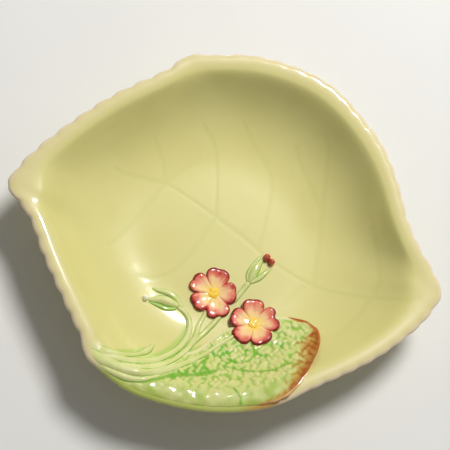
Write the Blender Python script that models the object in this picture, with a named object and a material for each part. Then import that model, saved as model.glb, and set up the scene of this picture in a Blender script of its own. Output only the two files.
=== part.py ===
"""A leaf-shaped dish with a moulded spray of flowers, as the pieces that are formed and joined.

Lengths are in metres and +Z is up. X runs from the left leaf tip to the right one. The origin lies on the
table, under the middle of the dish. Plan places are shares of half the length and half the width.
"""
import math

import bmesh
import bpy
import numpy as np
from mathutils import Vector

# Dish
LENGTH = 0.250
WIDTH = 0.210
HEIGHT = 0.040
WALL_THICKNESS = 0.004
LIP_WIDTH = 0.008
LIP_DROP = 0.0012
BOWL_RUN = 0.057
SCALLOP_DEPTH = 0.0009
SCALLOP_REACH = 0.0075

# Foot
FOOT_HEIGHT = 0.004
FOOT_WIDTH = 0.005
FOOT_INSET = 0.052
FOOT_CHAMFER = 0.0007

# What the spray's pieces share
SEAT_GAP = 0.0003
STEM_STEP = 0.0024
SLOPE_STEP = 0.0005

# Primrose leaf
LEAF_THICKNESS = 0.0018
LEAF_EDGE_THICKNESS = 0.0009
LEAF_BEVEL = 0.003

# Stems
STEM_RADIUS = 0.0011
TAIL_RADIUS = 0.0015
BRACT_RADIUS = 0.0014

# Buds
CALYX_RADIUS = 0.0038
CALYX_THICKNESS = 0.0034
BUD_PETAL_RADIUS = 0.0018

# Flowers
FLOWER_RADIUS = 0.0156
EYE_RADIUS = 0.0031
EYE_HEIGHT = 0.0028
PETAL_EDGE_THICKNESS = 0.0012
PETAL_CROWN_THICKNESS = 0.0027
PETAL_ROOT_THICKNESS = 0.0014

# Worked out from the sizes above
FLOOR_HEIGHT = FOOT_HEIGHT + WALL_THICKNESS
HALF_LENGTH = LENGTH / 2
HALF_WIDTH = WIDTH / 2
ON_DISH = SEAT_GAP
ON_LEAF = SEAT_GAP + LEAF_THICKNESS + SEAT_GAP

# The rim from the left tip, clockwise seen from above. Each side is a smooth line through its points, with
# its number of scallops. The smooth side is the one that the moulded leaf covers.
SIDE_SHARES = (
    (((-1.000, -0.080), (-0.947, 0.080), (-0.832, 0.291), (-0.653, 0.551), (-0.456, 0.764),
      (-0.398, 0.850), (-0.366, 0.901)), 10),
    (((-0.366, 0.901), (-0.232, 0.941), (-0.061, 0.995), (0.160, 0.990), (0.336, 0.930), (0.480, 0.806),
      (0.608, 0.663), (0.704, 0.482), (0.776, 0.291), (0.852, 0.149), (0.928, 0.044), (1.000, -0.080)), 19),
    (((1.000, -0.080), (0.926, -0.261), (0.787, -0.459), (0.642, -0.610), (0.470, -0.760)), 9),
    (((0.470, -0.760), (0.341, -0.876), (0.192, -0.946), (0.038, -0.984), (-0.120, -0.991),
      (-0.280, -0.970), (-0.427, -0.890), (-0.498, -0.839)), 0),
    (((-0.498, -0.839), (-0.510, -0.780), (-0.608, -0.632), (-0.760, -0.399), (-0.864, -0.214),
      (-1.000, -0.080)), 9),
)
POINTS_PER_SCALLOP = 4
SMOOTH_SIDE_POINTS = 32
CORNER_SOFTENING_ROUNDS = 1

# Towards the floor the leaf's corners fade into rounder outlines, first a little and then a lot. Each outline is
# the rim's mean over so many degrees to both sides, reached at this share of the way in.
ROUNDINGS = ((11, 0.16), (26, 0.40))

# Handles of the two curves of the inner profile, as shares of each curve's run and drop.
LIP_HANDLE_SHARES = ((0, 0), (0.42, 0.0), (0.70, 0.54), (1, 1))
BOWL_HANDLE_SHARES = ((0, 0), (0.079, 0.045), (0.228, 1), (1, 1))
LIP_STEP_SHARES = (0.0, 0.36, 0.62, 0.82, 1.0)
BOWL_STEP_SHARES = (0.08, 0.19, 0.31, 0.43, 0.56, 0.70, 0.84, 1.0)
UNDERSIDE_STEP_SHARES = (0.0, 0.16, 0.34, 0.52, 0.74, 1.0)
RIM_EDGE_STEPS = 4
FLOOR_RING_SHARE = 0.5
UNDERSIDE_TURN_STEP = 0.01

# The primrose leaf: points of its inner edge in plan, each with the inset of its outer edge from the rim as a
# share of half the width.
LEAF_SHARES = (
    (-0.433, -0.825, 0.019), (-0.415, -0.822, 0.019), (-0.398, -0.820, 0.018), (-0.374, -0.816, 0.018),
    (-0.348, -0.814, 0.017), (-0.318, -0.812, 0.017), (-0.269, -0.813, 0.017), (-0.209, -0.815, 0.017),
    (-0.156, -0.802, 0.017), (-0.119, -0.766, 0.017), (-0.086, -0.725, 0.017), (-0.050, -0.674, 0.017),
    (-0.009, -0.611, 0.017), (0.025, -0.560, 0.017), (0.053, -0.512, 0.017), (0.071, -0.478, 0.017),
    (0.091, -0.452, 0.017), (0.130, -0.424, 0.018), (0.167, -0.407, 0.027), (0.186, -0.400, 0.036),
    (0.204, -0.396, 0.044), (0.219, -0.393, 0.051), (0.234, -0.390, 0.058), (0.250, -0.388, 0.067),
    (0.267, -0.385, 0.078), (0.284, -0.382, 0.091), (0.312, -0.378, 0.112), (0.348, -0.373, 0.141),
    (0.400, -0.372, 0.180), (0.447, -0.380, 0.222), (0.487, -0.394, 0.258),
)
LEAF_BOWL_STEPS = 5
# Where the leaf is wide, it has a row over each of the dish's outer rings, so that it bends where they bend. Each
# row keeps between these shares of the leaf's own width.
LEAF_LOW_SHARES = (0.015, 0.03, 0.045, 0.06, 0.075, 0.09, 0.105, 0.12)
LEAF_HIGH_SHARES = (0.12, 0.24, 0.36, 0.48, 0.58, 0.68, 0.78, 0.87)

# Middle lines of the stems in plan, from the flower or bud down to the rim.
LEFT_BUD_STEM_SHARES = (
    (-0.128, -0.434), (-0.088, -0.468), (-0.072, -0.515), (-0.086, -0.556), (-0.111, -0.616),
    (-0.153, -0.688), (-0.199, -0.734), (-0.237, -0.757), (-0.302, -0.763), (-0.393, -0.758),
    (-0.452, -0.772),
)
LEFT_FLOWER_STEM_SHARES = (
    (-0.022, -0.450), (-0.044, -0.500), (-0.052, -0.550), (-0.070, -0.605), (-0.096, -0.675),
    (-0.122, -0.730), (-0.165, -0.768), (-0.208, -0.787), (-0.252, -0.797), (-0.300, -0.802),
    (-0.392, -0.796), (-0.436, -0.802),
)
RIGHT_FLOWER_STEM_SHARES = (
    (0.124, -0.565), (0.100, -0.595), (0.054, -0.666), (0.001, -0.717), (-0.054, -0.763),
    (-0.100, -0.797), (-0.163, -0.833), (-0.213, -0.848), (-0.277, -0.841), (-0.329, -0.830),
    (-0.388, -0.827),
)
LEAF_STALK_SHARES = ((-0.200, -0.884), (-0.237, -0.888), (-0.271, -0.887), (-0.308, -0.872), (-0.342, -0.854))
RIGHT_BUD_STEM_SHARES = ((0.158, -0.219), (0.147, -0.250), (0.136, -0.282))
STEM_TAIL_SHARES = ((0.048, -0.459), (0.016, -0.512), (-0.014, -0.567), (-0.044, -0.630), (-0.067, -0.668))
BRACT_SHARES = ((-0.239, -0.722), (-0.227, -0.697), (-0.211, -0.665))

# Middle lines of the bud's parts in plan, and their swelling along the way.
LEFT_CALYX_SHARES = ((-0.142, -0.428), (-0.188, -0.426), (-0.235, -0.421), (-0.273, -0.419))
LEFT_BUD_TIP_SHARES = ((-0.281, -0.424), (-0.289, -0.430), (-0.297, -0.436))
RIGHT_CALYX_SHARES = ((0.164, -0.207), (0.175, -0.165), (0.189, -0.122), (0.203, -0.079))
RIGHT_BUD_TIP_SHARES = ((0.204, -0.047), (0.217, -0.045), (0.231, -0.049), (0.246, -0.055), (0.259, -0.060))
CALYX_SWELL_SHARES = (0.30, 0.80, 1.0, 0.95, 0.72)
BUD_TIP_SWELL_SHARES = (0.35, 0.85, 1.0, 0.85, 0.35)
TWIN_TIP_SWELL_SHARES = (0.35, 1.0, 0.70, 1.0, 0.35)
STEM_SWELL_SHARES = (0.85, 1.0, 1.0, 1.0, 0.9)
TAIL_SWELL_SHARES = (1.0, 1.0, 0.85, 0.6, 0.3)
BRACT_SWELL_SHARES = (0.5, 1.0, 0.9, 0.3)

# The left flower's middle in plan. The right one's middle lies so many flower radii away, at this angle in
# degrees, so that its left petal points between two petals of the left flower.
LEFT_FLOWER_SHARES = (0.012, -0.311)
FLOWER_SPACING_SHARE = 1.84
RIGHT_FLOWER_ANGLE = -26.5

# Each petal's direction in degrees, reach share and notch share.
LEFT_PETAL_SHARES = ((15.5, 0.88, 0.05), (90.0, 1.0, 0.05), (161.0, 1.0, 0.06), (220.0, 0.94, 0.03),
                     (292.0, 0.98, 0.06))
RIGHT_PETAL_SHARES = ((29.0, 1.02, 0.18), (102.0, 0.98, 0.04), (170.0, 0.92, 0.05), (240.5, 0.97, 0.05),
                      (302.0, 0.94, 0.05))
FLOWER_POINTS = 60
PETAL_WAIST_SHARE = 0.66
PETAL_FULLNESS = 3.0
NOTCH_WIDTH_SHARE = 0.20
PETAL_RING_SHARES = (0.0, 0.45, 0.85, 1.0)
EYE_DOME_SHARES = ((1.0, 0.0), (1.0, 0.55), (0.82, 0.85), (0.45, 1.0))

# Colours, roughness and metallic value of each glaze
GLAZE_COLOURS = {
    "pale_glaze": ((0.70, 0.64, 0.31, 1), 0.12, 0.0),
    "leaf_glaze": ((0.42, 0.60, 0.13, 1), 0.15, 0.0),
    "stem_glaze": ((0.66, 0.70, 0.30, 1), 0.12, 0.0),
    "petal_glaze": ((0.62, 0.11, 0.08, 1), 0.15, 0.0),
    "eye_glaze": ((0.85, 0.52, 0.05, 1), 0.15, 0.0),
}


def smooth_line(points, steps):
    """A smooth line through the points, with so many steps between two of them."""
    points = np.array(points, float)
    padded = np.vstack([2 * points[0] - points[1], points, 2 * points[-1] - points[-2]])
    line = []
    for before, start, end, after in zip(padded, padded[1:], padded[2:], padded[3:]):
        for t in np.arange(steps) / steps:
            line.append(0.5 * (2 * start + (end - before) * t
                               + (2 * before - 5 * start + 4 * end - after) * t ** 2
                               + (3 * start - before - 3 * end + after) * t ** 3))
    line.append(points[-1])
    return np.array(line)


def evenly(line, count):
    """The line again, as count equal lengths."""
    lengths = np.concatenate([[0], np.cumsum(np.linalg.norm(np.diff(line, axis=0), axis=1))])
    places = np.linspace(0, lengths[-1], count + 1)
    return np.stack([np.interp(places, lengths, axis) for axis in line.T], axis=1)


def swell_along(shares, count):
    """The swell shares spread over count stations."""
    return np.interp(np.linspace(0, 1, count), np.linspace(0, 1, len(shares)), shares)


def bezier(handles, t):
    """A point of the cubic curve with these four handles."""
    weights = ((1 - t) ** 3, 3 * (1 - t) ** 2 * t, 3 * (1 - t) * t ** 2, t ** 3)
    return sum(weight * np.array(handle, float) for weight, handle in zip(weights, handles))


def rim_outlines():
    """The rim in plan, once plain and once scalloped, as points in the same order."""
    plain, bulge = [], []
    half = np.array((HALF_LENGTH, HALF_WIDTH))
    for shares, scallops in SIDE_SHARES:
        count = scallops * POINTS_PER_SCALLOP or SMOOTH_SIDE_POINTS
        plain += list(evenly(smooth_line(np.array(shares) * half, POINTS_PER_SCALLOP), count)[:-1])
        bulge += [abs(math.sin(math.pi * i / POINTS_PER_SCALLOP)) if scallops else 0 for i in range(count)]
    plain = np.array(plain)
    for _ in range(CORNER_SOFTENING_ROUNDS):
        plain = (np.roll(plain, 1, axis=0) + 2 * plain + np.roll(plain, -1, axis=0)) / 4
    along = np.roll(plain, -1, axis=0) - np.roll(plain, 1, axis=0)
    outward = np.stack([-along[:, 1], along[:, 0]], axis=1) / np.linalg.norm(along, axis=1)[:, None]
    scalloped = plain + outward * SCALLOP_DEPTH * np.array(bulge)[:, None]
    low, high = scalloped.min(axis=0), scalloped.max(axis=0)
    fit = 2 * half / (high - low)
    return (plain - (low + high) / 2) * fit, (scalloped - (low + high) / 2) * fit


def lip_point(t):
    """Inset and height on the lip's upper side, from the rim's edge to the bowl."""
    edge = WALL_THICKNESS / 2
    run, drop = bezier(LIP_HANDLE_SHARES, t) * (LIP_WIDTH - edge, LIP_DROP)
    return np.array((edge + run, HEIGHT - drop))


def bowl_point(t):
    """Inset and height on the bowl's inner side, from the lip to the flat floor."""
    run, drop = bezier(BOWL_HANDLE_SHARES, t) * (BOWL_RUN, HEIGHT - LIP_DROP - FLOOR_HEIGHT)
    return np.array((LIP_WIDTH + run, HEIGHT - LIP_DROP - drop))


def underside_point(t):
    """The point one wall thickness outside the bowl's inner side."""
    here = bowl_point(t)
    ahead = (bowl_point(t + UNDERSIDE_TURN_STEP) if t < 1 else here + (WALL_THICKNESS, 0)) - here
    outward = np.array((ahead[1], -ahead[0])) / np.linalg.norm(ahead)
    return here + outward * WALL_THICKNESS


PLAIN_RIM, SCALLOPED_RIM = rim_outlines()
RIM_ANGLES = np.arctan2(PLAIN_RIM[:, 1], PLAIN_RIM[:, 0])
RIM_RADII = np.linalg.norm(PLAIN_RIM, axis=1)
INNER_PROFILE = np.array([lip_point(t) for t in LIP_STEP_SHARES] + [bowl_point(t) for t in BOWL_STEP_SHARES])
UNDERSIDE_PROFILE = np.array([underside_point(t) for t in UNDERSIDE_STEP_SHARES])
RADIUS_SHARES = np.linspace(0.05, 1, 96)


def rim_radius(angle):
    """Distance from the middle to the plain rim at an angle, or at each of several."""
    return np.interp(angle, RIM_ANGLES, RIM_RADII, period=math.tau)


def rounded_radius(angle, degrees):
    """The same for a rounder outline: the mean of the rim's radius to both sides."""
    spread = np.radians(np.linspace(-degrees, degrees, 13))
    return np.mean(rim_radius(angle + spread))


def inset_at(angle, share):
    """Inset from the rim at a share of the rim's radius. The outline gets rounder on the way in."""
    rim = rim_radius(angle)
    outline = sharper = rim
    for degrees, reached_at in ROUNDINGS:
        way_in = np.clip((1 - share) / reached_at, 0, 1)
        rounder = rounded_radius(angle, degrees)
        outline = outline + (rounder - sharper) * way_in ** 2 * (3 - 2 * way_in)
        sharper = rounder
    return (1 - share * rim / outline) * HALF_WIDTH


def radius_at(angle, inset):
    """Distance from the middle, in plan, at which the inset from the rim is this one."""
    insets = inset_at(angle, RADIUS_SHARES)
    return rim_radius(angle) * float(np.interp(inset, insets[::-1], RADIUS_SHARES[::-1]))


def inside_height(x, y):
    """Height of the dish's inner side at this place in plan."""
    angle = math.atan2(y, x)
    inset = inset_at(angle, math.hypot(x, y) / rim_radius(angle))
    return float(np.interp(inset, INNER_PROFILE[:, 0], INNER_PROFILE[:, 1]))


def above_dish(x, y, lift):
    """The point this far above the dish's inner side, square to it, and the direction up from there."""
    slope_x = (inside_height(x + SLOPE_STEP, y) - inside_height(x - SLOPE_STEP, y)) / (2 * SLOPE_STEP)
    slope_y = (inside_height(x, y + SLOPE_STEP) - inside_height(x, y - SLOPE_STEP)) / (2 * SLOPE_STEP)
    normal = Vector((-slope_x, -slope_y, 1)).normalized()
    return Vector((x, y, inside_height(x, y))) + normal * lift, normal


def in_plan(share):
    """A place in plan from its shares of the half length and half width."""
    return share[0] * HALF_LENGTH, share[1] * HALF_WIDTH


def add_ring(mesh, points):
    """New vertices at the points."""
    return [mesh.verts.new(point) for point in points]


def skin(mesh, fine, coarse):
    """Faces between two rings, of which the first may have twice as many points."""
    step = len(fine) // len(coarse)
    for i in range(len(coarse)):
        j = (i + 1) % len(coarse)
        arc = [fine[(i * step + k) % len(fine)] for k in range(step + 1)]
        mesh.faces.new([coarse[j], coarse[i]] + arc)


def loft(mesh, rings, closed=False):
    """Faces between the rings in turn, and caps on the first and the last unless it is closed."""
    for one, other in zip(rings, rings[1:] + rings[:1] if closed else rings[1:]):
        fine, coarse = (one, other) if len(one) >= len(other) else (other, one)
        skin(mesh, fine, coarse)
    if not closed:
        mesh.faces.new(rings[0])
        mesh.faces.new(rings[-1])


def finish(mesh, name, glaze):
    """The mesh as a named object with its own glaze, shaded smooth."""
    bmesh.ops.recalc_face_normals(mesh, faces=mesh.faces)
    data = bpy.data.meshes.new(name)
    mesh.to_mesh(data)
    mesh.free()
    data.shade_smooth()
    data.set_sharp_from_angle(angle=math.radians(40))
    colour, roughness, metallic = GLAZE_COLOURS[glaze]
    material = bpy.data.materials.new(name)
    material.use_nodes = True
    shader = material.node_tree.nodes["Principled BSDF"]
    shader.inputs["Base Color"].default_value = colour
    shader.inputs["Roughness"].default_value = roughness
    shader.inputs["Metallic"].default_value = metallic
    data.materials.append(material)
    dish_object = bpy.data.objects.new(name, data)
    bpy.context.scene.collection.objects.link(dish_object)
    return dish_object


def rim_ring(inset, height, step=2):
    """The rim drawn in by an inset, with every step-th point, or with all where the scallops reach."""
    fade = max(0.0, 1 - inset / SCALLOP_REACH)
    ring = []
    for angle, scallop in list(zip(RIM_ANGLES, SCALLOPED_RIM - PLAIN_RIM))[::1 if fade else step]:
        radius = radius_at(angle, inset)
        ring.append((radius * math.cos(angle) + scallop[0] * fade, radius * math.sin(angle) + scallop[1] * fade,
                     height))
    return ring


def dish_body():
    """The dish: its bowl and lip, the rounded rim and the underside, in one wall."""
    edge = WALL_THICKNESS / 2
    turns = [math.pi * i / RIM_EDGE_STEPS for i in range(1, RIM_EDGE_STEPS + 1)]
    sections = list(INNER_PROFILE[::-1])
    sections += [(edge - edge * math.sin(a), HEIGHT - edge + edge * math.cos(a)) for a in turns]
    sections += list(UNDERSIDE_PROFILE)
    floor_inset = HALF_WIDTH - (HALF_WIDTH - LIP_WIDTH - BOWL_RUN) * FLOOR_RING_SHARE
    sections = [(floor_inset, FLOOR_HEIGHT)] + sections + [(floor_inset, FLOOR_HEIGHT - WALL_THICKNESS)]
    mesh = bmesh.new()
    loft(mesh, [add_ring(mesh, rim_ring(inset, height)) for inset, height in sections])
    return finish(mesh, "dish_body", "pale_glaze")


def foot_ring():
    """The low ring that the dish stands on, under the edge of its floor."""
    def underside(inset):
        return float(np.interp(inset, UNDERSIDE_PROFILE[:, 0], UNDERSIDE_PROFILE[:, 1])) - SEAT_GAP
    outer, inner = FOOT_INSET, FOOT_INSET + FOOT_WIDTH
    sections = [
        (outer + FOOT_CHAMFER, 0), (inner - FOOT_CHAMFER, 0), (inner, FOOT_CHAMFER),
        (inner + FOOT_CHAMFER, underside(inner + FOOT_CHAMFER)),
        (outer - FOOT_CHAMFER, underside(outer - FOOT_CHAMFER)), (outer, FOOT_CHAMFER),
    ]
    mesh = bmesh.new()
    loft(mesh, [add_ring(mesh, rim_ring(inset, height, step=4)) for inset, height in sections], closed=True)
    return finish(mesh, "foot_ring", "pale_glaze")


def leaf_row(inner, outer):
    """Insets across the leaf: its outer edge, the dish's outer rings, then even steps down the bowl."""
    rings = [min(max(inset, outer + (inner - outer) * low), outer + (inner - outer) * high)
             for inset, low, high in zip(INNER_PROFILE[:, 0], LEAF_LOW_SHARES, LEAF_HIGH_SHARES)]
    return [outer] + rings[:-1] + list(np.linspace(rings[-1], inner, LEAF_BOWL_STEPS + 1))


def leaf_blade():
    """The primrose leaf over the near wall: a thin sheet bent along the bowl, thinner at its edge."""
    plan = []
    for *inner, outer in LEAF_SHARES:
        x, y = in_plan(inner)
        turn = math.atan2(y, x)
        inner_inset = inset_at(turn, math.hypot(x, y) / rim_radius(turn))
        radii = [radius_at(turn, inset) for inset in leaf_row(inner_inset, outer * HALF_WIDTH)]
        plan.append([(radius * math.cos(turn), radius * math.sin(turn)) for radius in radii])
    seats = np.array([[above_dish(x, y, ON_DISH)[0] for x, y in row] for row in plan])
    mesh = bmesh.new()
    lower, upper = [], []
    for i, row in enumerate(plan):
        lower.append(add_ring(mesh, seats[i]))
        tops = []
        for j, (x, y) in enumerate(row):
            to_edge = min(np.linalg.norm(seats[i, j] - seats[i, 0]), np.linalg.norm(seats[i, j] - seats[i, -1]),
                          np.linalg.norm(seats[i, j] - seats[0, j]), np.linalg.norm(seats[i, j] - seats[-1, j]))
            rise = (LEAF_THICKNESS - LEAF_EDGE_THICKNESS) * min(1.0, to_edge / LEAF_BEVEL)
            tops.append(above_dish(x, y, ON_DISH + LEAF_EDGE_THICKNESS + rise)[0])
        upper.append(add_ring(mesh, tops))
    loft(mesh, [low + high[::-1] for low, high in zip(lower, upper)])
    bmesh.ops.triangulate(mesh, faces=[face for face in mesh.faces if len(face.verts) > 4])
    return finish(mesh, "leaf_blade", "leaf_glaze")


def swept(name, shares, swell, half_width, half_height, seat, glaze, sides=6):
    """A round or flattened bar along a line in plan, lying on the dish or on the leaf."""
    middle = smooth_line([in_plan(share) for share in shares], 4)
    length = np.linalg.norm(np.diff(middle, axis=0), axis=1).sum()
    middle = evenly(middle, max(4, math.ceil(length / STEM_STEP)))
    swells = swell_along(swell, len(middle))
    places = [above_dish(x, y, seat + half_height * s) for (x, y), s in zip(middle, swells)]
    centres = np.array([place[0] for place in places])
    tangents = np.gradient(centres, axis=0)
    mesh = bmesh.new()
    rings = []
    for centre, tangent, (_, normal), size in zip(centres, tangents, places, swells):
        side = Vector(tangent).cross(normal).normalized()
        up = side.cross(Vector(tangent)).normalized()
        turns = [math.tau * (k + 0.5) / sides for k in range(sides)]
        rings.append(add_ring(mesh, [Vector(centre) + side * (math.cos(a) * half_width * size)
                                     + up * (math.sin(a) * half_height * size) for a in turns]))
    loft(mesh, rings)
    return finish(mesh, name, glaze)


def petal_reach(angle, petals):
    """The flower's outline at an angle, as a share of its radius: five petals, each notched at its tip."""
    for i, (here, reach, notch) in enumerate(petals):
        before = petals[i - 1][0] - (360 if i == 0 else 0)
        after = petals[(i + 1) % len(petals)][0] + (360 if i + 1 == len(petals) else 0)
        offset = (angle - here + 180) % 360 - 180
        span = (after - here) / 2 if offset >= 0 else (here - before) / 2
        if abs(offset) <= span:
            place = abs(offset) / span
            lobe = PETAL_WAIST_SHARE + (1 - PETAL_WAIST_SHARE) * (1 - place ** PETAL_FULLNESS) ** 0.5
            return reach * lobe - notch * math.exp(-(place / NOTCH_WIDTH_SHARE) ** 2)
    return PETAL_WAIST_SHARE


def flower_petals(name, centre, petals, seat):
    """Five petals in one piece round the eye's hole: low at the root, fuller half way, thin at the edge."""
    x0, y0 = centre
    hole = EYE_RADIUS + SEAT_GAP
    angles = [360 * i / FLOWER_POINTS for i in range(FLOWER_POINTS)]
    reaches = [FLOWER_RADIUS * petal_reach(angle, petals) for angle in angles]

    def ring(share, thickness):
        points = []
        for angle, reach in zip(angles, reaches):
            radius = hole + (reach - hole) * share
            turn = math.radians(angle)
            x, y = x0 + radius * math.cos(turn), y0 + radius * math.sin(turn)
            points.append(above_dish(x, y, seat + thickness)[0])
        return points

    thicknesses = np.interp(PETAL_RING_SHARES, (0, PETAL_RING_SHARES[2], 1),
                            (PETAL_ROOT_THICKNESS, PETAL_CROWN_THICKNESS, PETAL_EDGE_THICKNESS))
    mesh = bmesh.new()
    top = [add_ring(mesh, ring(share, thick)) for share, thick in zip(PETAL_RING_SHARES, thicknesses)]
    bottom = [add_ring(mesh, ring(share, 0)) for share in (1.0, 0.0)]
    loft(mesh, top + bottom, closed=True)
    return finish(mesh, name, "petal_glaze")


def flower_eye(name, centre, seat, sides=20):
    """The small dome in the middle of a flower."""
    x0, y0 = centre
    mesh = bmesh.new()
    rings = []
    for radius_share, height_share in EYE_DOME_SHARES:
        radius = EYE_RADIUS * radius_share
        turns = [math.tau * k / sides for k in range(sides)]
        rings.append(add_ring(mesh, [above_dish(x0 + radius * math.cos(a), y0 + radius * math.sin(a),
                                                seat + EYE_HEIGHT * height_share)[0] for a in turns]))
    loft(mesh, rings)
    return finish(mesh, name, "eye_glaze")


def spray():
    """The moulded spray: leaf, stems, buds and two flowers."""
    leaf_blade()
    round_stem = (STEM_SWELL_SHARES, STEM_RADIUS, STEM_RADIUS)
    swept("left_bud_stem", LEFT_BUD_STEM_SHARES, *round_stem, ON_DISH, "stem_glaze")
    swept("left_flower_stem", LEFT_FLOWER_STEM_SHARES, *round_stem, ON_DISH, "stem_glaze")
    swept("right_bud_stem", RIGHT_BUD_STEM_SHARES, *round_stem, ON_DISH, "stem_glaze")
    swept("right_flower_stem", RIGHT_FLOWER_STEM_SHARES, *round_stem, ON_LEAF, "stem_glaze")
    swept("leaf_stalk", LEAF_STALK_SHARES, *round_stem, ON_LEAF, "stem_glaze")
    swept("right_bud_stem_tail", STEM_TAIL_SHARES, TAIL_SWELL_SHARES, TAIL_RADIUS, TAIL_RADIUS, ON_DISH,
          "stem_glaze")
    swept("bract", BRACT_SHARES, BRACT_SWELL_SHARES, BRACT_RADIUS, BRACT_RADIUS, ON_DISH, "stem_glaze")
    calyx = (CALYX_SWELL_SHARES, CALYX_RADIUS, CALYX_THICKNESS / 2)
    swept("left_bud_calyx", LEFT_CALYX_SHARES, *calyx, ON_DISH, "stem_glaze")
    swept("right_bud_calyx", RIGHT_CALYX_SHARES, *calyx, ON_DISH, "stem_glaze")
    bud_petal = (BUD_PETAL_RADIUS, BUD_PETAL_RADIUS, ON_DISH)
    swept("left_bud_petals", LEFT_BUD_TIP_SHARES, BUD_TIP_SWELL_SHARES, *bud_petal, "pale_glaze")
    swept("right_bud_petals", RIGHT_BUD_TIP_SHARES, TWIN_TIP_SWELL_SHARES, *bud_petal, "petal_glaze")
    left = np.array(in_plan(LEFT_FLOWER_SHARES))
    aside = math.radians(RIGHT_FLOWER_ANGLE)
    right = left + FLOWER_SPACING_SHARE * FLOWER_RADIUS * np.array((math.cos(aside), math.sin(aside)))
    flower_petals("left_flower_petals", left, LEFT_PETAL_SHARES, ON_DISH)
    flower_eye("left_flower_eye", left, ON_DISH)
    flower_petals("right_flower_petals", right, RIGHT_PETAL_SHARES, ON_LEAF)
    flower_eye("right_flower_eye", right, ON_LEAF)


for existing in list(bpy.data.objects):
    bpy.data.objects.remove(existing, do_unlink=True)
dish_body()
foot_ring()
spray()
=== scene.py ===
# %% [markdown]
# # A leaf-shaped dish with a moulded spray of primroses
#
# The dish is slip-cast earthenware under a pale green glaze. A spray of two flowers, two buds, their stems and
# one crinkled leaf is moulded on its near wall and painted before the last firing. This lesson starts from the
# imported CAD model, keeps its frame and its sizes, and models each piece again with the finish of fired clay.
#
# Everything is in metres. X runs from the left leaf tip to the right one and +Z is up.

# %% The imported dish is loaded
import math

import bmesh
import bpy
import numpy as np
from mathutils import Matrix, Vector


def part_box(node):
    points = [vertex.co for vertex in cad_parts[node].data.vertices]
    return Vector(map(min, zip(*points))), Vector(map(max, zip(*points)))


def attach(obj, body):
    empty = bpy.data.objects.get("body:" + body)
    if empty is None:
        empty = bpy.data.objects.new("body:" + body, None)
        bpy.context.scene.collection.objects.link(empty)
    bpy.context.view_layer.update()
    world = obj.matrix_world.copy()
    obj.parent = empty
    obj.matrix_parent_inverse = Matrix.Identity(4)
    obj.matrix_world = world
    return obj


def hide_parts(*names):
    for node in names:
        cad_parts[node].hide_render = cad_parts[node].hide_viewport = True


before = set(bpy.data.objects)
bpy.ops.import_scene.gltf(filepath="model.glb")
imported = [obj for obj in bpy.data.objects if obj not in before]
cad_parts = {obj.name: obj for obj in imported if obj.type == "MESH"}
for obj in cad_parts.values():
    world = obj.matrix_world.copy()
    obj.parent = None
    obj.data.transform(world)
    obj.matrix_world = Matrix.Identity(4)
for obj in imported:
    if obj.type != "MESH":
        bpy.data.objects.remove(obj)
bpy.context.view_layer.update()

# %% [markdown]
# ## Sizes that the pieces share
#
# The dish's length, width and height are read from its CAD solid, so the dressed dish can't drift from it. The
# wall, lip and foot repeat the values of the CAD source. The scallops are a little deeper than there, and the wall
# leaves the lip on a softer curve, since light shows a rim's form best just there. `MM` turns the millimetres of
# small details into metres.

# %% Shared sizes
MM = 0.001
dish_low, dish_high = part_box("dish_body")
HALF_LENGTH = (dish_high.x - dish_low.x) / 2
HALF_WIDTH = (dish_high.y - dish_low.y) / 2
HEIGHT = dish_high.z
WALL = 4 * MM
LIP_WIDTH, LIP_DROP = 8 * MM, 1.2 * MM
BOWL_RUN = 57 * MM
FOOT_HEIGHT = 4 * MM
FLOOR_HEIGHT = FOOT_HEIGHT + WALL
SCALLOP_DEPTH, SCALLOP_REACH = 1.35 * MM, 6.0 * MM
LEAF_TOP = 2.1 * MM
print(f"dish {2000 * HALF_LENGTH:.1f} x {2000 * HALF_WIDTH:.1f} x {1000 * HEIGHT:.1f} mm")

# %% [markdown]
# ## Lines through points
#
# A modeller draws a curve through a few points and lets Blender smooth it. Here the same is done in numbers:
# `smooth_line` passes through each of its points, `evenly` spreads points along a line, and `handle_curve` gives
# the section of the bowl from four handles.

# %% Curve helpers
def smooth_line(points, steps):
    """A smooth line through the points, with so many steps between two of them."""
    points = np.array(points, float)
    padded = np.vstack([2 * points[0] - points[1], points, 2 * points[-1] - points[-2]])
    line = []
    for before, start, end, after in zip(padded, padded[1:], padded[2:], padded[3:]):
        for t in np.arange(steps) / steps:
            line.append(0.5 * (2 * start + (end - before) * t
                               + (2 * before - 5 * start + 4 * end - after) * t ** 2
                               + (3 * start - before - 3 * end + after) * t ** 3))
    line.append(points[-1])
    return np.array(line)


def evenly(line, count):
    """The line again, as count equal lengths."""
    lengths = np.concatenate([[0], np.cumsum(np.linalg.norm(np.diff(line, axis=0), axis=1))])
    places = np.linspace(0, lengths[-1], count + 1)
    return np.stack([np.interp(places, lengths, axis) for axis in line.T], axis=1)


def handle_curve(handles, t):
    """Points of the cubic curve with these four handles, at the shares t."""
    t = np.atleast_1d(t)[:, None]
    weights = ((1 - t) ** 3, 3 * (1 - t) ** 2 * t, 3 * (1 - t) * t ** 2, t ** 3)
    return sum(weight * np.array(handle, float) for weight, handle in zip(weights, handles))


def near(gap, width):
    """1 where there is no gap, and softly 0 where it is beyond the width."""
    return np.exp(-(gap / width) ** 2)


def smoothstep(low, high, value):
    """0 below low, 1 above high, and a soft change between them."""
    t = np.clip((np.asarray(value, float) - low) / (high - low), 0, 1)
    return t * t * (3 - 2 * t)

# %% [markdown]
# ## The rim in plan
#
# The dish is shaped like one broad leaf with a tip at each end. Four of its five sides are nibbled by a potter's
# thumb into small scallops; the fifth lies under the moulded leaf and is smooth. Each side is a smooth line with
# its own number of scallops, and the whole is fitted to the CAD's length and width.

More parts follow.
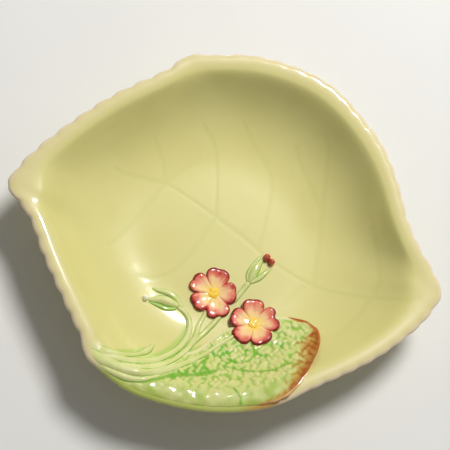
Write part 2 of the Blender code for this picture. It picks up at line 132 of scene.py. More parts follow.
# %% Sides of the rim: points as shares of the half length and half width, scallops, share of the scallop depth
SIDES = (
    (((-1.000, -0.080), (-0.947, 0.080), (-0.832, 0.291), (-0.653, 0.551), (-0.456, 0.764),
      (-0.398, 0.850), (-0.366, 0.901)), 10, 1.0),
    (((-0.366, 0.901), (-0.232, 0.941), (-0.061, 0.995), (0.160, 0.990), (0.336, 0.930), (0.480, 0.806),
      (0.608, 0.663), (0.704, 0.482), (0.776, 0.291), (0.852, 0.149), (0.928, 0.044), (1.000, -0.080)), 19, 0.6),
    (((1.000, -0.080), (0.926, -0.261), (0.787, -0.459), (0.642, -0.610), (0.470, -0.760)), 9, 0.55),
    (((0.470, -0.760), (0.341, -0.876), (0.192, -0.946), (0.038, -0.984), (-0.120, -0.991),
      (-0.280, -0.970), (-0.427, -0.890), (-0.498, -0.839)), 0, 0.5),
    (((-0.498, -0.839), (-0.510, -0.780), (-0.608, -0.632), (-0.760, -0.399), (-0.864, -0.214),
      (-1.000, -0.080)), 9, 0.8),
)
POINTS_PER_SCALLOP = 6
CREST_LEAN = 0.75
SMOOTH_SIDE_POINTS = 48
DEPTH_BLEND_POINTS = 9
CORNER_SOFTENINGS = 2

# %% Rim outline
def rim_outlines():
    """The rim in plan, plain and scalloped, and how near each point is to a crest (1) from a full notch (0)."""
    plain, bulge, depth = [], [], []
    half = np.array((HALF_LENGTH, HALF_WIDTH))
    for shares, scallops, depth_share in SIDES:
        count = scallops * POINTS_PER_SCALLOP or SMOOTH_SIDE_POINTS
        plain += list(evenly(smooth_line(np.array(shares) * half, steps=8), count)[:-1])
        places = (np.arange(count) % POINTS_PER_SCALLOP) / POINTS_PER_SCALLOP
        bulge += list(np.sin(math.pi * places ** CREST_LEAN)) if scallops else [1.0] * count
        depth += [depth_share] * count
    plain, bulge = np.array(plain), np.array(bulge)
    even_weights = np.full(DEPTH_BLEND_POINTS, 1 / DEPTH_BLEND_POINTS)
    depth = np.convolve(np.tile(depth, 3), even_weights, "same")[len(depth):2 * len(depth)]
    crest = 1 - depth * (1 - bulge)
    for _ in range(CORNER_SOFTENINGS):
        plain = (np.roll(plain, 1, axis=0) + 2 * plain + np.roll(plain, -1, axis=0)) / 4
    along = np.roll(plain, -1, axis=0) - np.roll(plain, 1, axis=0)
    outward = np.stack([-along[:, 1], along[:, 0]], axis=1) / np.linalg.norm(along, axis=1)[:, None]
    scalloped = plain + outward * (SCALLOP_DEPTH * crest)[:, None]
    low, high = scalloped.min(axis=0), scalloped.max(axis=0)
    fit = 2 * half / (high - low)
    return (plain - (low + high) / 2) * fit, (scalloped - (low + high) / 2) * fit, crest


PLAIN_RIM, SCALLOPED_RIM, CREST = rim_outlines()
RIM_ANGLES = np.arctan2(PLAIN_RIM[:, 1], PLAIN_RIM[:, 0])
print("points round the rim:", len(PLAIN_RIM))

# %% [markdown]
# ## The dish as a height over its plan
#
# Any place on the dish has an inset: its distance from the rim, measured as on the dish's half width. Towards the
# floor the leaf's corners fade into rounder outlines, first a little and then a lot. The section gives the height
# at each inset, so that every piece of the spray can be laid on the curved wall by its place in plan alone.

# %% Rounder outlines towards the floor
TABLE_TURNS, SPREAD_TURNS = 1441, 13
TURNS = np.linspace(-math.pi, math.pi, TABLE_TURNS)
RIM_TABLE = np.interp(TURNS, RIM_ANGLES, np.linalg.norm(PLAIN_RIM, axis=1), period=math.tau)


def mean_table(degrees):
    """The rim's radius at each turn, as its mean over so many degrees to both sides."""
    spread = np.radians(np.linspace(-degrees, degrees, SPREAD_TURNS))
    return np.mean([np.interp(TURNS + turn, TURNS, RIM_TABLE, period=math.tau) for turn in spread], axis=0)


# Each outline and the share of the way in at which it is reached.
ROUNDINGS = ((mean_table(11), 0.16), (mean_table(26), 0.40))


def outline_at(angle, share):
    """The plain rim's radius at an angle, and that of the rounder outline at a share of it."""
    rim = np.interp(angle, TURNS, RIM_TABLE, period=math.tau)
    outline = sharper = rim
    for table, reached_at in ROUNDINGS:
        rounder = np.interp(angle, TURNS, table, period=math.tau)
        outline = outline + (rounder - sharper) * smoothstep(0, reached_at, 1 - share)
        sharper = rounder
    return rim, outline


# %% Insets and places in plan
INSET_STEPS = 70


def inset_of(x, y):
    """Inset from the rim at places in plan."""
    angle = np.arctan2(y, x)
    rim = np.interp(angle, TURNS, RIM_TABLE, period=math.tau)
    share = np.hypot(x, y) / rim
    return (1 - share * rim / outline_at(angle, share)[1]) * HALF_WIDTH


def radius_at(angle, inset):
    """Distance from the middle, in plan, at which the inset is this one."""
    share = wanted = 1 - np.asarray(inset, float) / HALF_WIDTH
    for _ in range(INSET_STEPS):
        rim, outline = outline_at(angle, share)
        share = wanted * outline / rim
    return share * rim


def in_plan(angle, inset):
    """The place in plan at an angle and an inset."""
    radius = radius_at(angle, inset)
    return radius * np.cos(angle), radius * np.sin(angle)

# %% [markdown]
# ## The section of the bowl
#
# A narrow lip rolls softly over into the wall, which runs out into a flat floor. Two curves are enough: one for
# the lip and one for the wall. At the rim's edge the section follows a quarter of a circle, and the underside lies
# one wall thickness outside.

# %% Section, as insets and heights
LIP_HANDLES = ((0, 0), (0.42, 0.0), (0.70, 0.54), (1, 1))
BOWL_HANDLES = ((0, 0), (0.115, 0.070), (0.250, 1), (1, 1))
EDGE_TURN = 1.45
EDGE_POINTS, LIP_POINTS, BOWL_POINTS = 14, 40, 160


def edge_section(turn):
    """The rounded edge, at turns from the top (0) outwards."""
    return np.stack([WALL / 2 * (1 - np.sin(turn)), HEIGHT - WALL / 2 * (1 - np.cos(turn))], axis=1)


def lip_section(t):
    """The lip, from the edge (0) to the wall (1)."""
    run, drop = (handle_curve(LIP_HANDLES, t) * (LIP_WIDTH - WALL / 2, LIP_DROP)).T
    return np.stack([WALL / 2 + run, HEIGHT - drop], axis=1)


def bowl_section(t):
    """The wall, from the lip (0) to the floor (1)."""
    run, drop = (handle_curve(BOWL_HANDLES, t) * (BOWL_RUN, HEIGHT - LIP_DROP - FLOOR_HEIGHT)).T
    return np.stack([LIP_WIDTH + run, HEIGHT - LIP_DROP - drop], axis=1)


SECTION = np.vstack([edge_section(np.linspace(EDGE_TURN, 0, EDGE_POINTS)),
                     lip_section(np.linspace(0, 1, LIP_POINTS))[1:],
                     bowl_section(np.linspace(0, 1, BOWL_POINTS))[1:]])
print("section from", (SECTION[0] / MM).round(1), "to", (SECTION[-1] / MM).round(1), "mm")

# %% Heights over the dish
SLOPE_STEP = 0.5 * MM
FAR_AWAY = 1.0


def height_at(x, y):
    """Height of the dish's inner side at places in plan."""
    return np.interp(inset_of(x, y), SECTION[:, 0], SECTION[:, 1])


def above_dish(x, y, lift):
    """The points this far above the inner side, square to it, and the direction up from there."""
    x, y = np.asarray(x, float), np.asarray(y, float)
    slope_x = (height_at(x + SLOPE_STEP, y) - height_at(x - SLOPE_STEP, y)) / (2 * SLOPE_STEP)
    slope_y = (height_at(x, y + SLOPE_STEP) - height_at(x, y - SLOPE_STEP)) / (2 * SLOPE_STEP)
    normal = np.stack([-slope_x, -slope_y, np.ones_like(slope_x)], axis=-1)
    normal /= np.linalg.norm(normal, axis=-1, keepdims=True)
    return np.stack([x, y, height_at(x, y)], axis=-1) + normal * np.asarray(lift, float)[..., None], normal


def ring_round(centre, radius, turns, lift):
    """A ring round a place in plan, this far above the dish."""
    return above_dish(centre[0] + radius * np.cos(turns), centre[1] + radius * np.sin(turns), lift)[0]


def distance_to(lines, x, y):
    """Least distance in plan from each place to the lines."""
    best = np.full(np.shape(x), FAR_AWAY)
    for line in lines:
        for (x0, y0), (x1, y1) in zip(line, line[1:]):
            dx, dy = x1 - x0, y1 - y0
            t = np.clip(((x - x0) * dx + (y - y0) * dy) / (dx * dx + dy * dy), 0, 1)
            best = np.minimum(best, np.hypot(x - x0 - t * dx, y - y0 - t * dy))
    return best

# %% [markdown]
# ## Pulling a form ring by ring
#
# A potter pulls a wall up from a ring of clay. The same is done here: a circle is added, its points are set, and
# it is extruded once for each further ring. Each point carries two numbers, its column and its ring, which an
# extrusion copies, so that the new ring can be placed. The ends are merged to a point, filled, bridged or left open.

# %% Ring tools
def deselect_all():
    """Leaves nothing selected, since an operator acts on all that is."""
    bpy.ops.object.select_all(action="DESELECT")


def set_ring(piece, points, number):
    """Places the selected ring."""
    shell = bmesh.from_edit_mesh(piece.data)
    column, ring = shell.verts.layers.int["column"], shell.verts.layers.int["ring"]
    for vertex in shell.verts:
        if vertex.select:
            vertex.co = points[vertex[column]]
            vertex[ring] = number
    bmesh.update_edit_mesh(piece.data)


def select_borders():
    """Selects the open borders and nothing else."""
    bpy.ops.mesh.select_all(action="DESELECT")
    bpy.ops.mesh.select_non_manifold(use_wire=False, use_multi_face=False, use_non_contiguous=False, use_verts=False)


def close_borders(how):
    """Closes the open borders with each other or with a face."""
    select_borders()
    if how == "bridge":
        bpy.ops.mesh.bridge_edge_loops()
    else:
        bpy.ops.mesh.edge_face_add()


def pull_rings(name, rings, start="merge", end="merge"):
    """A closed form from rings of points: a circle that is extruded ring by ring."""
    rings = np.asarray(rings, float)
    deselect_all()
    bpy.ops.mesh.primitive_circle_add(vertices=rings.shape[1], radius=HALF_WIDTH)
    piece = bpy.context.object
    piece.name = piece.data.name = name
    for layer in ("column", "ring"):
        piece.data.attributes.new(layer, "INT", "POINT")
    piece.data.attributes["column"].data.foreach_set("value", list(range(rings.shape[1])))
    bpy.ops.object.mode_set(mode="EDIT")
    bpy.ops.mesh.select_mode(type="VERT")
    bpy.ops.mesh.select_all(action="SELECT")
    set_ring(piece, rings[0], 0)
    for number, points in enumerate(rings[1:], 1):
        bpy.ops.mesh.extrude_region_move()
        set_ring(piece, points, number)
    if end == "bridge":
        close_borders("bridge")
    elif end != "open":
        if end == "merge":
            bpy.ops.mesh.merge(type="CENTER")
        else:
            bpy.ops.mesh.edge_face_add()
        close_borders(start)
        if start == "merge":
            bpy.ops.mesh.merge(type="CENTER")
    bpy.ops.mesh.select_all(action="SELECT")
    bpy.ops.mesh.normals_make_consistent(inside=False)
    bpy.ops.object.mode_set(mode="OBJECT")
    return piece

# %% [markdown]
# ## Measures that a finish can follow
#
# A glaze pools in a groove and thins on an edge. For the material to know where these are, numbers are written on
# the points of a piece. They are written on the coarse form, so the Subdivision Surface smooths them with it.

# %% Measures
def read_points(piece):
    """The places of the piece's points."""
    places = np.empty(3 * len(piece.data.vertices), np.float32)
    piece.data.vertices.foreach_get("co", places)
    return places.reshape(-1, 3).astype(float)


def read_normals(piece):
    """The direction outwards at each point."""
    normals = np.empty(3 * len(piece.data.vertices), np.float32)
    piece.data.vertex_normals.foreach_get("vector", normals)
    return normals.reshape(-1, 3).astype(float)


def write_points(piece, places):
    """Moves the points to these places."""
    piece.data.vertices.foreach_set("co", places.astype(np.float32).ravel())
    piece.data.update()


def write_measures(piece, **measures):
    """Writes a number of each name on each point of the piece."""
    for name, values in measures.items():
        layer = piece.data.attributes.get(name) or piece.data.attributes.new(name, "FLOAT", "POINT")
        layer.data.foreach_set("value", np.asarray(values, np.float32).ravel())


def read_measure(piece, name, kind=np.float32):
    """The numbers that were written on the points."""
    values = np.empty(len(piece.data.vertices), kind)
    piece.data.attributes[name].data.foreach_get("value", values)
    return values.astype(float) if kind is np.float32 else values


def measure_rings(piece, **tables):
    """Writes tables on the points of a pulled form: a number for each column, for each ring, or for both."""
    ring, column = (read_measure(piece, layer, np.int32) for layer in ("ring", "column"))
    for name, table in tables.items():
        whole_table = np.broadcast_to(table, (ring.max() + 1, column.max() + 1))
        write_measures(piece, **{name: whole_table[ring, column]})

# %% Finishing a form
def draw_to_points(piece):
    """Draws each open end of a smoothed form together to one point."""
    bpy.ops.object.mode_set(mode="EDIT")
    select_borders()
    bpy.ops.mesh.merge(type="COLLAPSE")
    bpy.ops.object.mode_set(mode="OBJECT")


def smooth_over(piece, levels):
    """Rounds a coarse form with an applied Subdivision Surface and shades it smooth."""
    deselect_all()
    piece.select_set(True)
    bpy.context.view_layer.objects.active = piece
    rounding = piece.modifiers.new("rounding", "SUBSURF")
    rounding.levels = rounding.render_levels = levels
    bpy.ops.object.modifier_apply(modifier=rounding.name)
    bpy.ops.object.shade_smooth()
    for layer in ("column", "ring"):
        if layer in piece.data.attributes:
            piece.data.attributes.remove(piece.data.attributes[layer])


def join(pieces):
    """Several pieces as one object."""
    deselect_all()
    for piece in pieces:
        piece.select_set(True)
    bpy.context.view_layer.objects.active = pieces[0]
    bpy.ops.object.join()
    return pieces[0]


def hand_over(piece, finish, slot, *nodes):
    """Gives a finished piece its glaze, hides the CAD nodes that it stands for and sets it on its body."""
    piece.data.materials.clear()
    piece.data.materials.append(finish)
    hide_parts(*nodes)
    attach(piece, "root")
    triangles = sum(len(face.vertices) - 2 for face in piece.data.polygons)
    print(f"{piece.name}: {triangles} triangles")

# %% [markdown]
# ## A short way to write materials
#
# A material is a tree of nodes. `Amount` wraps one output, so that sums and products of it read like a formula and
# add Math nodes by themselves. `Glaze` holds the tree and adds any other node with one method.

# %% Shader maths
class Amount:
    """A number that varies over a surface."""

    def __init__(self, glaze, socket):
        self.glaze, self.socket = glaze, socket

    def math(self, operation, *values):
        return self.glaze.node("ShaderNodeMath", {"operation": operation}, dict(enumerate(values)))

    def __add__(self, other):
        return self.math("ADD", self, other)

    def __radd__(self, other):
        return self.math("ADD", other, self)

    def __sub__(self, other):
        return self.math("SUBTRACT", self, other)

    def __rsub__(self, other):
        return self.math("SUBTRACT", other, self)

    def __mul__(self, other):
        return self.math("MULTIPLY", self, other)

    def __rmul__(self, other):
        return self.math("MULTIPLY", other, self)

    def size(self):
        """The number without its sign."""
        return self.math("ABSOLUTE", self)

# %% A glaze and its nodes
COAT_ROUGHNESS, BODY_SPECULAR = 0.05, 0.07


class Glaze:
    """A material and its node tree."""

    def __init__(self, name, roughness=0.35, coat=1.0):
        self.material = bpy.data.materials.new(name)
        self.material.use_nodes = True
        self.tree = self.material.node_tree
        self.shader = self.tree.nodes["Principled BSDF"]
        for socket, value in (("Roughness", roughness), ("Coat Weight", coat), ("Coat Roughness", COAT_ROUGHNESS),
                              ("Specular IOR Level", BODY_SPECULAR)):
            self.shader.inputs[socket].default_value = value

    def set(self, socket, value):
        """Links or sets a socket."""
        if isinstance(value, Amount):
            self.tree.links.new(value.socket, socket)
        else:
            socket.default_value = value

    def node(self, kind, settings=None, inputs=None, output=0):
        """Adds a node: first its settings, then the values or links of its sockets."""
        node = self.tree.nodes.new(kind)
        for key, value in (settings or {}).items():
            if key == "stops":
                while len(node.color_ramp.elements) < len(value):
                    node.color_ramp.elements.new(0.5)
                for element, (position, colour) in zip(node.color_ramp.elements, value):
                    element.position, element.color = position, colour
            else:
                setattr(node, key, value)
        for key, value in (inputs or {}).items():
            self.set(node.inputs[key], value)
        return Amount(self, node.outputs[output])

    def measure(self, name):
        """A number that was written on the piece's points."""
        return self.node("ShaderNodeAttribute", {"attribute_name": name}, output="Fac")

    def soft(self, value, low, high):
        """0 to 1 as the value goes from low to high, with soft ends."""
        return self.node("ShaderNodeMapRange", {"interpolation_type": "SMOOTHSTEP"},
                         {"Value": value, "From Min": low, "From Max": high})

    def noise(self, scale, detail, vector=None):
        """A cloudy number from 0 to 1, with this many clouds in a metre."""
        place = vector or self.node("ShaderNodeTexCoord", output="Object")
        return self.node("ShaderNodeTexNoise", None, {"Vector": place, "Scale": scale, "Detail": detail})

    def blend(self, factor, one, other):
        """One colour where the factor is 0 and the other where it is 1."""
        return self.node("ShaderNodeMix", {"data_type": "RGBA"}, {0: factor, 6: one, 7: other}, output=2)

    def ramp(self, value, stops):
        """The colour at the value along a row of stops."""
        return self.node("ShaderNodeValToRGB", {"stops": stops}, {"Fac": value})

    def finish(self, colour, roughness=None, height=None, depth=0.1 * MM):
        """Links the colour, the roughness and the bump."""
        self.set(self.shader.inputs["Base Color"], colour)
        if roughness is not None:
            self.set(self.shader.inputs["Roughness"], roughness)
        if height is not None:
            bump = self.node("ShaderNodeBump", None, {"Height": height, "Strength": 1.0, "Distance": depth})
            self.set(self.shader.inputs["Normal"], bump)
        return self.material


def tone(red, green, blue):
    """A colour as a screen shows it, 0 to 255, as the shader's own values (the sRGB curve)."""
    shares = [value / 255 for value in (red, green, blue)]
    return tuple(share / 12.92 if share <= 0.04045 else ((share + 0.055) / 1.055) ** 2.4 for share in shares) + (1.0,)

# %% [markdown]
# ## The dish's body
#
# The body is one cast wall. Its form is pulled from the middle of the floor outwards, up the bowl, over the lip and
# the rounded rim, and back along the underside. Near the rim each ring follows the scallops, which fade inwards.

# %% Dish rings
FLOOR_RINGS, BOWL_RINGS, LIP_RINGS, EDGE_RINGS, UNDER_RINGS = 14, 27, 6, 5, 8
EDGE_BULGE = 1.1
MIDDLE_INSET = HALF_WIDTH - 2 * MM
BASE_INSETS = (80 * MM, 95 * MM, MIDDLE_INSET)
SHORT_WAY = 0.01


def dish_sections():
    """Inset and height of each ring, and how many rings lie on the inner side."""
    edge = WALL / 2
    floor = [(inset, FLOOR_HEIGHT) for inset in np.linspace(MIDDLE_INSET, LIP_WIDTH + BOWL_RUN, FLOOR_RINGS + 1)[:-1]]
    bowl = list(bowl_section(np.linspace(1, 0, BOWL_RINGS)))
    lip = list(lip_section(np.linspace(1, 0, LIP_RINGS)))[1:]
    turns = math.pi * np.arange(1, EDGE_RINGS + 1) / EDGE_RINGS
    rim = [(edge - EDGE_BULGE * edge * math.sin(turn), HEIGHT - edge + edge * math.cos(turn)) for turn in turns]
    under = []
    for t in np.linspace(0, 1, UNDER_RINGS):
        here, ahead = bowl_section([t, min(t + SHORT_WAY, 1)])
        along = ahead - here if t < 1 else np.array((1.0, 0.0))
        under.append(here + np.array((along[1], -along[0])) / np.linalg.norm(along) * WALL)
    base = [(inset, FOOT_HEIGHT) for inset in BASE_INSETS]
    inner = floor + bowl + lip
    return inner + rim + under + base, len(inner)


DISH_SECTIONS, INNER_RINGS = dish_sections()
NOTCH_DIP = 0.30 * MM
POOL_INSET, POOL_WIDTH = 3.4 * MM, 1.6 * MM


def dish_ring(inset, height):
    """The rim drawn in by an inset, with what is left of the scallops there."""
    fade = max(0.0, 1 - inset / SCALLOP_REACH)
    x, y = in_plan(RIM_ANGLES, inset)
    scallop = (SCALLOPED_RIM - PLAIN_RIM) * fade
    dip = NOTCH_DIP * (1 - CREST) * fade * (height > HEIGHT - WALL)
    return np.stack([x + scallop[:, 0], y + scallop[:, 1], height - dip], axis=1)


# %% The dish is pulled
dish = pull_rings("glazed_dish", [dish_ring(inset, height) for inset, height in DISH_SECTIONS], end="open")
ring_insets = np.array([[inset] for inset, _ in DISH_SECTIONS])
is_inner = np.where(np.arange(len(DISH_SECTIONS)) < INNER_RINGS, 1.0, 0.0)[:, None]
measure_rings(dish, inner=is_inner, pool=near(ring_insets - POOL_INSET, POOL_WIDTH) * is_inner * (1 - CREST) ** 2)
smooth_over(dish, 1)
draw_to_points(dish)
print("rings:", len(DISH_SECTIONS), "columns:", len(RIM_ANGLES))

# %% [markdown]
# ## Veins pressed into the bowl
#
# The mould carries a leaf's veins: a midrib from the left towards the right tip, with side veins that branch from
# it. They are shallow grooves, so the points near each line are pressed in along their normals, and the same
# number is kept for the glaze, which is a little deeper and greener there. Beside the stems a brush left a green
# wash, and where the leaf folds over the rim the rim takes the leaf's colours: these are only measures for the glaze.

# %% Vein and wash lines, in millimetres in plan
VEINS = (
    ((-70.2, 23.5), (-63.9, 22.7), (-52.6, 23.9), (-40.6, 24.3), (-28.2, 20.7), (-7.6, 12.5), (13.9, 2.8),
     (21.4, -1.5), (33.1, -6.6), (42.7, -10.3), (57.4, -14.8), (67.7, -16.1), (88.8, -17.1), (98.1, -17.1),
     (105.9, -17.3), (112.3, -15.1)),
    ((-40.6, 24.3), (-44.5, 35.5), (-53.2, 47.5)),
    ((-40.6, 24.3), (-33.7, 33.8), (-23.8, 44.2)),
    ((-40.6, 24.3), (-46.1, 12.1), (-52.3, -2.1), (-59, -14.1), (-63.4, -20.5)),
    ((-7.6, 12.2), (-11.9, 36.6), (-17.5, 54.1), (-26.8, 63.6)),
    ((-7.6, 12.2), (-12.8, -2.3), (-22, -22.5), (-31.8, -31.7), (-43, -34.2)),
    ((21.4, -1.5), (22.1, 26.4), (19, 46.1), (5.8, 60.4), (-3.8, 71.1)),
    ((57.4, -14.8), (55.6, 15.8), (53.6, 30.2), (49.1, 60.7), (43.5, 72.2)),
    ((52.5, 31.3), (44.7, 42.7), (37, 52.8), (30.1, 64.2)),
    ((51.7, -16.1), (42.6, -28.8)),
    ((89.8, -16.9), (91.4, -6.4), (88.8, 6.4), (81.6, 23.4)),
    ((88.3, -18.4), (81.8, -31.8), (72.9, -43.8)),
)
WASH_LINES = (
    ((-61.1, -83.1), (-56.2, -85.2), (-50.6, -85.9), (-44.5, -83.0), (-36.4, -79.8), (-31.2, -76.7)),
    ((-36.6, -85.9), (-29.4, -82.3), (-20.1, -75.0), (-13.8, -67.0), (-10.9, -61.8), (-9.9, -56.7)),
    ((-15.8, -81.3), (-12.3, -76.0), (-8.7, -71.7), (-3.8, -69.8), (0.4, -66.4)),
)
VEIN_WIDTH, VEIN_DEPTH, VEIN_GLAZE_WIDTH = 1.3 * MM, 0.075 * MM, 1.69 * MM
WASH_WIDTH, WASH_SPREAD, WASH_SPREAD_SHARE = 1.5 * MM, 4.5 * MM, 0.35


def plan_lines(lines, steps):
    """Smooth lines in metres from rows of points in millimetres."""
    return [smooth_line(np.array(line) * MM, steps) for line in lines]

# %% Veins pressed in
places = read_points(dish)
on_inside = read_measure(dish, "inner") > 0.99
vein_gap = distance_to(plan_lines(VEINS, steps=4), places[:, 0], places[:, 1])
vein = near(vein_gap, VEIN_WIDTH) * on_inside
write_points(dish, places - read_normals(dish) * (VEIN_DEPTH * vein)[:, None])
write_measures(dish, vein=near(vein_gap, VEIN_GLAZE_WIDTH) * on_inside)
print("points in a vein:", int((vein > 0.5).sum()))

# %% Where the wash and the leaf's colours lie: turns in degrees, from none to full
LEAF_START_TURNS, LEAF_STOP_TURNS, LEAF_END_TURNS = (-123, -116), (-60, -66), (-78, -68)
LEAF_SIDE_OUTER, LEAF_SIDE_INNER = (-6 * MM, 0.5 * MM), (9 * MM, 5 * MM)
LEAF_SIDE_HEIGHTS = (HEIGHT - 5 * MM, HEIGHT - 3.5 * MM)
wash_gap = distance_to(plan_lines(WASH_LINES, steps=4), places[:, 0], places[:, 1])
wash = (near(wash_gap, WASH_WIDTH) + WASH_SPREAD_SHARE * near(wash_gap, WASH_SPREAD)) * on_inside
inset = inset_of(places[:, 0], places[:, 1])
dish_turn = np.degrees(np.arctan2(places[:, 1], places[:, 0]))
leaf_side = smoothstep(*LEAF_START_TURNS, dish_turn) * smoothstep(*LEAF_STOP_TURNS, dish_turn)
leaf_side *= smoothstep(*LEAF_SIDE_OUTER, inset) * smoothstep(*LEAF_SIDE_INNER, inset)
leaf_side *= smoothstep(*LEAF_SIDE_HEIGHTS, places[:, 2])
write_measures(dish, wash=wash, inset_mm=inset / MM, leaf_side=leaf_side,
               leaf_end=smoothstep(*LEAF_END_TURNS, dish_turn))
print("points in the wash:", int((wash > 0.5).sum()))

# %% [markdown]
# ## The foot
#
# The dish stands on a low ring under its floor. It is pulled like the body, and its two open borders are bridged.

# %% Foot ring
FOOT_OUTER, FOOT_INNER, FOOT_ROUNDING = 52 * MM, 57 * MM, 0.9 * MM
FOOT_TOP, FOOT_TOP_OUTER = FOOT_HEIGHT + 0.2 * MM, FOOT_HEIGHT + 1.1 * MM
FOOT_SECTION = (
    (FOOT_OUTER + FOOT_ROUNDING, 0), (FOOT_INNER - FOOT_ROUNDING, 0), (FOOT_INNER, FOOT_ROUNDING),
    (FOOT_INNER + 1.2 * FOOT_ROUNDING, 0.7 * FOOT_TOP), (FOOT_INNER + 3 * FOOT_ROUNDING, FOOT_TOP),
    (FOOT_OUTER - 3.4 * FOOT_ROUNDING, FOOT_TOP_OUTER), (FOOT_OUTER - 1.4 * FOOT_ROUNDING, 0.7 * FOOT_TOP),
    (FOOT_OUTER, FOOT_ROUNDING),
)
FOOT_ANGLES = RIM_ANGLES[::3]
foot_rings = [np.column_stack([*in_plan(FOOT_ANGLES, inset), np.full(len(FOOT_ANGLES), height)])
              for inset, height in FOOT_SECTION]
foot = pull_rings("foot", foot_rings, end="bridge")
smooth_over(foot, 1)

# %% [markdown]
# ## Pale green glaze
#
# The glaze is glossy and a little cloudy. It thins to a warm cream on the rim's edge, where a painted reflection
# of warm light lies too, collects in a yellow-green drop behind each notch and in the veins, and carries a green
# wash near the stems. Each of these is one blend over the last colour, in the order in which a brush would lay them.

# %% Pale glaze
CLOUD_SCALE, FINE_SCALE = 34.0, 420.0
BODY_TONES = tone(213, 205, 133), tone(216, 208, 138)
VEIN_TONE, POOL_TONE, WASH_TONE = tone(206, 202, 128), tone(200, 192, 118), tone(172, 196, 96)
LIP_TONE, RIM_EDGE_CREAM_AND_SHEEN_TONE = tone(219, 206, 150), tone(228, 208, 174)
LEAF_SIDE_TONES, LEAF_END_TONE = (tone(178, 192, 90), tone(190, 196, 106)), tone(204, 146, 74)


def pale_glaze(name, on_the_dish):
    """The pale green glaze; on the dish it follows the measures too."""
    glaze = Glaze(name)
    cloud = glaze.noise(CLOUD_SCALE, 2.0)
    fine = glaze.noise(FINE_SCALE, 2.0)
    cloudy = glaze.soft(cloud, 0.3, 0.7)
    colour = glaze.blend(cloudy, *BODY_TONES)
    if on_the_dish:
        depth_in = glaze.measure("inset_mm")
        wash = glaze.soft(glaze.measure("wash") * (0.55 + cloud), 0.1, 1.25)
        colour = glaze.blend(glaze.soft(glaze.measure("vein"), 0.1, 1.0) * 0.5, colour, VEIN_TONE)
        colour = glaze.blend(glaze.soft(glaze.measure("pool"), 0.05, 0.8) * 0.25, colour, POOL_TONE)
        colour = glaze.blend(wash * 0.85, colour, WASH_TONE)
        colour = glaze.blend(glaze.soft(depth_in + cloud * 4, 11.0, 5.0) * 0.8, colour, LIP_TONE)
        # Partly painted reflection: the rim's edge is painted a light warm cream, partly the glaze thinning there and
        # partly a painted reflection of warm light.
        colour = glaze.blend(glaze.soft(depth_in + fine, 2.2, 0.5) * 0.8, colour, RIM_EDGE_CREAM_AND_SHEEN_TONE)
        leaf_side = glaze.blend(cloudy, *LEAF_SIDE_TONES)
        leaf_side = glaze.blend(glaze.measure("leaf_end") * 0.8, leaf_side, LEAF_END_TONE)
        colour = glaze.blend(glaze.measure("leaf_side"), colour, leaf_side)
    return glaze.finish(colour, 0.30 + cloud * 0.15, cloud * 0.6 + fine * 0.05, 0.12 * MM)


hand_over(dish, pale_glaze("pale_green_glaze", True), "pale_glaze", "dish_body")
hand_over(foot, pale_glaze("foot_glaze", False), "pale_glaze", "foot_ring")

# %% [markdown]
# ## The moulded leaf
#
# One broad crinkled leaf lies over the near wall and folds over the lip. Seen from the dish's middle, each turn
# meets its inner edge at one inset and its outer edge at another. Each ring of the pull goes over the top of the
# leaf along such a turn and back underneath it.

# %% Leaf edges: inner one in millimetres in plan, outer one as turns in degrees and insets in millimetres
LEAF_INNER = ((-53.5, -90.4), (-49.0, -90.8), (-44.0, -91.0), (-38.0, -90.4), (-32.0, -89.2), (-25.6, -87.2),
              (-19.3, -83.4), (-15.8, -80.6), (-12.3, -76.0), (-8.7, -71.7), (-3.8, -69.2), (0.4, -65.4),
              (4.0, -59.8), (8.1, -55.0), (12.4, -51.2), (19.0, -46.8), (26.0, -42.8), (33.4, -39.8), (38.5, -37.8),
              (44.0, -36.5), (49.0, -36.1), (54.0, -36.3), (58.2, -36.9))
LEAF_OUTER = ((-121, 1.6), (-117, 0.5), (-113, 0.08), (-64, 0.08), (-60.0, 0.6), (-57.3, 1.7), (-54.2, 3.6),
              (-50.8, 7.2), (-46.8, 11.4), (-42.8, 15.4), (-38.6, 20.4), (-35.5, 25.0), (-33.1, 29.7), (-32.3, 33.5))
LEAF_RINGS, LEAF_TOP_COLUMNS, LEAF_UNDER_COLUMNS = 112, 35, 4


def leaf_grid():
    """Places in plan over the leaf, one row for each ring, from the outer edge to the inner one."""
    line = smooth_line(np.array(LEAF_INNER) * MM, steps=6)
    turn = np.arctan2(line[:, 1], line[:, 0])
    inner_inset = inset_of(line[:, 0], line[:, 1])
    outer = np.array(LEAF_OUTER)
    outer_inset = np.interp(turn, np.radians(outer[:, 0]), outer[:, 1]) * MM
    middle = np.stack(in_plan(turn, (inner_inset + outer_inset) / 2), axis=1)
    lengths = np.concatenate([[0], np.cumsum(np.hypot(*np.diff(middle, axis=0).T))])
    stops = np.linspace(0, lengths[-1], LEAF_RINGS)
    turn, inner_inset, outer_inset = (np.interp(stops, lengths, row) for row in (turn, inner_inset, outer_inset))
    share = np.linspace(0, 1, LEAF_TOP_COLUMNS)
    inset = outer_inset[:, None] + (inner_inset - outer_inset)[:, None] * share[None, :]
    return in_plan(np.repeat(turn[:, None], LEAF_TOP_COLUMNS, axis=1), inset)


leaf_x, leaf_y = leaf_grid()
seats = above_dish(leaf_x, leaf_y, 0.0)[0]
outer_border, inner_border, left_border, right_border = seats[:, 0], seats[:, -1], seats[0], seats[-1]
print("leaf from", outer_border[0].round(3), "to", outer_border[-1].round(3))

# %% [markdown]
# The leaf grows out of the rim at the left, is thickest in the middle and rolls down to the dish at its edge. The
# distance to the nearest edge, measured over the curved wall, gives that roll. Along the rim it thins softly, and
# its right edge is a raised bead.

